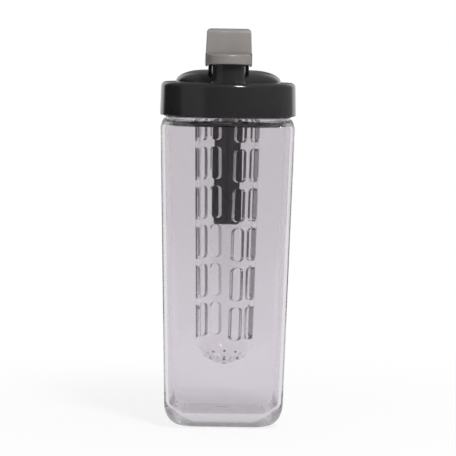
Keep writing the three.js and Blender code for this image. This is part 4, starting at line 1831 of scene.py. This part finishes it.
@dataclass
class Handle:
    """The strap handle behind the lid, its inner cover and its screws."""

    depth: float = 12.0
    wall: float = 2.2
    bend_inner: float = 6.0
    bend_inner_steps: int = 12
    bend_outer_steps: int = 20
    tip_round: float = 5.0
    edge: float = 2.4
    channel_bend: float = 1.0
    channel_corner: float = 2.0
    cover: float = 1.8
    cover_edge: float = 0.25
    cover_tip: float = 0.6
    gap: float = 0.3
    root: float = 39.0
    boss_radius: float = 3.4
    boss_rise: float = 5.0
    boss_sides: int = 40
    head_radius: float = 2.8
    head_height: float = 1.4
    head_edge: float = 0.3
    shank_radius: float = 1.5
    screw_sides: int = 48
    tip_length: float = 0.6
    tip_draw: float = 0.5
    thread_radius: float = 0.22
    thread_sink: float = 0.08
    thread_pitch: float = 0.9
    thread_margin: float = 0.8
    thread_steps: int = 32
    thread_sides: int = 6
    recess_width: float = 0.8
    recess_reach: float = 3.6
    recess_depth: float = 0.9

    def __post_init__(self) -> None:
        """Take the outer sizes from the frame."""
        box = CadBox.of("handle_shell")
        self.top = box.high.z
        self.tip = box.low.z
        self.outer = box.high.y
        self.width = box.width
        self.channel_width = self.width - 2 * self.wall
        self.collar_clear = CadBox.of("lid_shell").high.x + self.gap
        screw = CadBox.of("handle_screw_front")
        self.boss_bottom = screw.low.z + self.boss_rise
        self.screw_top = screw.high.z

    def strip(self, from_outer: float, from_inner: float, from_tip: float, tip_round: float) -> list[Point]:
        """The handle from the side, drawn in from its faces.

        Args:
            from_outer: How far from the outer face.
            from_inner: How far from the inner face.
            from_tip: How far from the lower tip.
            tip_round: Radius at the tip.

        Returns:
            The outline from the root along the outer face, round the tip and back.
        """
        bend_outer = self.bend_inner + self.depth - from_outer
        bend_inner = self.bend_inner + from_inner
        outer = self.outer - from_outer
        inner = self.outer - self.depth + from_inner
        top = self.top - from_outer
        under = self.top - self.depth + from_inner
        tip = self.tip + from_tip
        points = [(self.root, top)]
        points += arc((outer - bend_outer, top - bend_outer), bend_outer, 90, 0, self.bend_outer_steps)
        points += arc((outer - tip_round, tip + tip_round), tip_round, 0, -90, CORNER_STEPS)
        points += arc((inner + tip_round, tip + tip_round), tip_round, -90, -180, CORNER_STEPS)
        points += arc(
            (inner - bend_inner, under - bend_inner), bend_inner, 0, 90, self.bend_inner_steps)
        return [*points, (self.root, under)]

    def collar_cut(self) -> Form:
        """What the handle keeps clear of round the collar."""
        low, high = self.tip - OVERSHOOT, self.top + OVERSHOOT
        return Form.rod(self.collar_clear, low, high, sides=ROUND_SIDES)

    def at_screws(self, radius: float, low: float, high: float) -> list[Form]:
        """An upright round column at each screw."""
        column = Form.rod(radius, low, high, sides=self.boss_sides)
        return [column.moved_back(y) for y in SCREWS.places]

    def build_shell(self) -> None:
        """Make the outer shell with its channel and screw bosses."""
        outline = self.strip(0.0, 0.0, 0.0, self.tip_round)
        piece = Form.side_extrusion(outline, self.width, self.edge).piece("handle_gloss_shell")
        from_inner = self.channel_bend - self.bend_inner
        channel = self.strip(self.wall, from_inner, self.wall, self.channel_corner)
        hollow = Form.side_extrusion(channel, self.channel_width)
        bosses = self.at_screws(self.boss_radius, self.boss_bottom, self.top - self.wall / 2)
        bores = self.at_screws(SCREWS.bore, self.boss_bottom - OVERSHOOT, self.screw_top + self.gap)
        combine(piece, Cut.TAKE_AWAY, hollow, self.collar_cut())
        combine(piece, Cut.JOIN, *bosses)
        combine(piece, Cut.TAKE_AWAY, *bores)
        seat(piece, CHARCOAL, Body.LID, "handle_shell")

    def build_cover(self) -> None:
        """Make the cover that closes the channel towards the jug."""
        outline = self.strip(self.depth - self.cover, 0.0, self.wall + self.gap, self.cover_tip)
        width = self.channel_width - 2 * self.gap
        piece = Form.side_extrusion(outline, width, self.cover_edge).piece("handle_inner_cover")
        combine(piece, Cut.TAKE_AWAY, self.collar_cut())
        seat(piece, CHARCOAL, Body.LID, "handle_cover")

    def screw(self, low: float, high: float) -> Form:
        """A plain screw at the middle, head down.

        Args:
            low: Height of its head's face.
            high: Height of its tip.

        Returns:
            The closed surface.
        """
        edge, shank, head = self.head_edge, self.shank_radius, low + self.head_height
        profile = [(0.0, low), *arc((self.head_radius - edge, low + edge), edge, 270, 360, EDGE_STEPS)]
        profile += [(self.head_radius, head), (shank, head), (shank, high - self.tip_length)]
        return Form.lathe([*profile, (shank - self.tip_draw, high), (0.0, high)], self.screw_sides)

    def build_screws(self) -> None:
        """Make both screws, with their threads and recesses laid by Geometry Nodes."""
        box = CadBox.of("handle_screw_front", "handle_screw_rear")
        low, high = box.low.z, box.high.z
        head = low + self.head_height
        piece = self.screw(low, high).piece("handle_screws")
        tree = GeometryTree("handle_screw_pair")
        length = tree.size("Thread Length", high - head - 2 * self.thread_margin)
        turns = length / tree.size("Thread Pitch", self.thread_pitch)
        reach = tree.size("Thread Reach", self.shank_radius - self.thread_sink)
        ridge = tree.thread(
            reach, length, turns, self.thread_steps,
            tree.size("Ridge Radius", self.thread_radius), self.thread_sides)
        raised = tree.moved(ridge, tree.vector(z=tree.size("Thread Low", head + self.thread_margin)))
        threaded = tree.combined(tree.geometry, raised, Cut.JOIN)
        blade = tree.node("GeometryNodeMeshCube", None, {"Size": tree.vector(
            tree.size("Recess Width", self.recess_width),
            tree.size("Recess Reach", self.recess_reach),
            tree.size("Recess Depth", 2 * self.recess_depth))})
        cross = tree.combined(blade, tree.moved(blade, turn=(0, 0, 90)), Cut.JOIN)
        recess = tree.moved(cross, tree.vector(z=tree.size("Head Face", low)))
        screw = tree.combined(threaded, recess, Cut.TAKE_AWAY)
        first, last = SCREWS.places
        start = tree.vector(y=tree.size("First Screw", first))
        step = tree.vector(y=tree.size("Screw Spacing", last - first))
        places = tree.row(len(SCREWS.places), start, step)
        tree.run(piece, tree.copies(places, screw), STEEL.material())
        seat(piece, STEEL, Body.LID, "handle_screw_front", "handle_screw_rear")

    def build(self) -> None:
        """Make every piece of the handle."""
        self.build_shell()
        self.build_cover()
        self.build_screws()


# The studio


@dataclass
class Studio:
    """The pale floor, the soft light and the camera."""

    frame_pixels: float = 456.0
    focal_pixels: float = 2650.0
    sensor: float = 36.0
    clip: Span = (50.0, 50000.0)
    camera_place: Triple = (1.2, -1720.0, 259.7)
    pitch: float = -4.43
    roll: float = 0.9
    floor_radius: float = 3000.0
    floor_shares: tuple[float, ...] = (0.05, 0.12, 0.3, 1.0)
    floor_sides: int = 96
    floor_drop: float = 0.4
    floor_white: Colour = (0.9, 0.9, 0.9)
    floor_glow: Span = (0.86, 1.0)
    floor_glow_reach: Span = (50.0, 400.0)
    floor_near: Span = (500.0, 1000.0)
    floor_mirrored: float = 0.35
    room: Span = (0.13, 0.4)
    room_back: float = 0.95
    room_back_turn: Span = (0.2, 0.9)
    ceiling: Span = (0.22, 0.26)
    ceiling_turn: Span = (-0.6, 0.6)
    ceiling_height: Span = (0.25, 0.6)
    through_front: float = 0.1
    through_side: float = 0.35
    through_back: Span = (0.4, 0.9)
    through_turn: Span = (-0.75, -0.25)
    mirrored: tuple[Point, ...] = (
        (-180, 0.2), (-172, 0.2), (-168, 1.0), (-147, 1.0), (-138, 0.02), (-90, 0.02),
        (-84, 0.32), (-46, 0.32), (-36, 0.05), (30, 0.05), (45, 0.12), (90, 0.18),
        (112, 0.27), (138, 0.3), (147, 1.0), (168, 1.0), (172, 0.2), (180, 0.2))
    key_power: float = 15.5
    key_size: Span = (250.0, 420.0)
    key_turn: float = 24.0
    key_height: float = 50.0
    key_distance: float = 1400.0
    key_aim: Triple = (0.0, 0.0, 150.0)
    bounces: int = 128

    def build_camera(self) -> None:
        """Stand the camera where the photograph was taken from."""
        data = bpy.data.cameras.new("photo_camera")
        data.sensor_width = self.sensor
        data.lens = self.sensor * self.focal_pixels / self.frame_pixels
        data.clip_start, data.clip_end = metres(self.clip)
        camera = bpy.data.objects.new("photo_camera", data)
        bpy.context.scene.collection.objects.link(camera)
        look = Matrix.Rotation(math.radians(90 + self.pitch), 4, "X")
        level = Matrix.Rotation(math.radians(self.roll), 4, "Z")
        camera.matrix_world = Matrix.Translation(Vector(self.camera_place) * MM) @ look @ level
        bpy.context.scene.camera = camera

    def floor_shader(self, graph: Graph) -> Socket:
        """A pale floor that keeps a faint shadow and fades to white.

        Args:
            graph: The material's graph.

        Returns:
            The shader.
        """
        place = graph.place()
        distance = graph.vectors("LENGTH", place, output="Value")
        near = graph.ramp(distance, *metres(self.floor_near), 1.0, 0.0)
        behind = near.larger(graph.ramp(graph.axis(place, "Y") / distance, *self.through_turn))
        camera = graph.light_path("Is Camera Ray")
        glossy = graph.light_path("Is Glossy Ray")
        through = graph.light_path("Is Transmission Ray")
        white = (self.through_front + (1 - self.through_front) * behind).larger(camera)
        white = white.blend(self.floor_mirrored, glossy * (1 - through))
        fading = graph.ramp(distance, *metres(self.floor_glow_reach), *self.floor_glow)
        glow = camera.larger(glossy) * fading
        paint = graph.node("ShaderNodeBsdfDiffuse", None, {"Color": self.floor_white})
        light = graph.node("ShaderNodeEmission", None, {"Color": (1.0, 1.0, 1.0), "Strength": white})
        return graph.node("ShaderNodeMixShader", None, {0: glow, 1: paint, 2: light})

    def build_floor(self) -> None:
        """Lay the floor."""
        turns = spread(0.0, 2 * math.pi, self.floor_sides)[:-1]
        rings = [[Vector((0, 0, -self.floor_drop))]]
        for share in self.floor_shares:
            radius = self.floor_radius * share
            around = [(radius * math.cos(t), radius * math.sin(t)) for t in turns]
            rings.append([Vector((*point, -self.floor_drop)) for point in around])
        form = Form.from_rings(rings)
        floor = Form(form.points, form.faces[:-1]).piece("floor")
        material = bpy.data.materials.new("pale_floor")
        material.use_nodes = True
        graph = Graph(material.node_tree)
        graph.node("ShaderNodeOutputMaterial", None, {"Surface": self.floor_shader(graph)})
        floor.data.materials.append(material)

    def build_world(self) -> None:
        """Light the room: softly from the right and behind, with dark cards for gloss to mirror."""
        world = bpy.data.worlds.new("studio_room")
        world.use_nodes = True
        bpy.context.scene.world = world
        graph = Graph(world.node_tree)
        way = graph.place("Generated")
        side, depth, height = [graph.axis(way, name) for name in "XYZ"]
        turn = graph.node("ShaderNodeMath", {"operation": "ARCTAN2"}, {0: side, 1: 0 - depth})
        stops = [(0.5 + degrees / 360, value) for degrees, value in self.mirrored]
        cards = graph.node("ShaderNodeValToRGB", {"stops": stops}, {0: 0.5 + turn / (2 * math.pi)})
        overhead = graph.ramp(side, *self.ceiling_turn, *self.ceiling)
        mirrored = cards.blend(overhead, graph.ramp(height, *self.ceiling_height))
        through = graph.ramp(depth, *self.through_turn, self.through_front, self.through_side)
        through = through.blend(1.0, graph.ramp(depth, *self.through_back))
        strength = graph.ramp(side, -1.0, 1.0, *self.room)
        strength = strength.blend(self.room_back, graph.ramp(depth, *self.room_back_turn))
        rays = {"Is Glossy Ray": mirrored, "Is Transmission Ray": through, "Is Camera Ray": 1.0}
        for ray, value in rays.items():
            strength = strength.blend(value, graph.light_path(ray))
        inputs = {"Color": (1.0, 1.0, 1.0), "Strength": strength}
        light = graph.node("ShaderNodeBackground", None, inputs)
        graph.node("ShaderNodeOutputWorld", None, {"Surface": light})

    def build_key(self) -> None:
        """Hang a soft light to the right of the camera, facing the jug."""
        data = bpy.data.lights.new("key_softbox", "AREA")
        data.shape = "RECTANGLE"
        data.size, data.size_y = metres(self.key_size)
        data.energy = self.key_power
        light = bpy.data.objects.new("key_softbox", data)
        bpy.context.scene.collection.objects.link(light)
        turned, raised = math.radians(self.key_turn), math.radians(self.key_height)
        level = math.cos(raised)
        away = Vector((math.sin(turned) * level, -math.cos(turned) * level, math.sin(raised)))
        light.location = (Vector(self.key_aim) + away * self.key_distance) * MM
        light.rotation_euler = away.to_track_quat("Z", "Y").to_euler()

    def build(self) -> None:
        """Set up the whole studio."""
        scene = bpy.context.scene
        scene.view_settings.view_transform = "Standard"
        scene.cycles.max_bounces = self.bounces
        scene.cycles.glossy_bounces = self.bounces
        scene.cycles.transmission_bounces = self.bounces
        self.build_camera()
        self.build_floor()
        self.build_world()
        self.build_key()
        log.info("studio ready")


def main() -> None:
    """Build the jug's parts and the studio, in order."""
    logging.basicConfig(level=logging.INFO, format="%(name)s: %(message)s")
    for part in (Jug(), Infuser(), Lid(), FlipCap(), Handle(), Studio()):
        part.build()


if __name__ == "__main__":
    main()
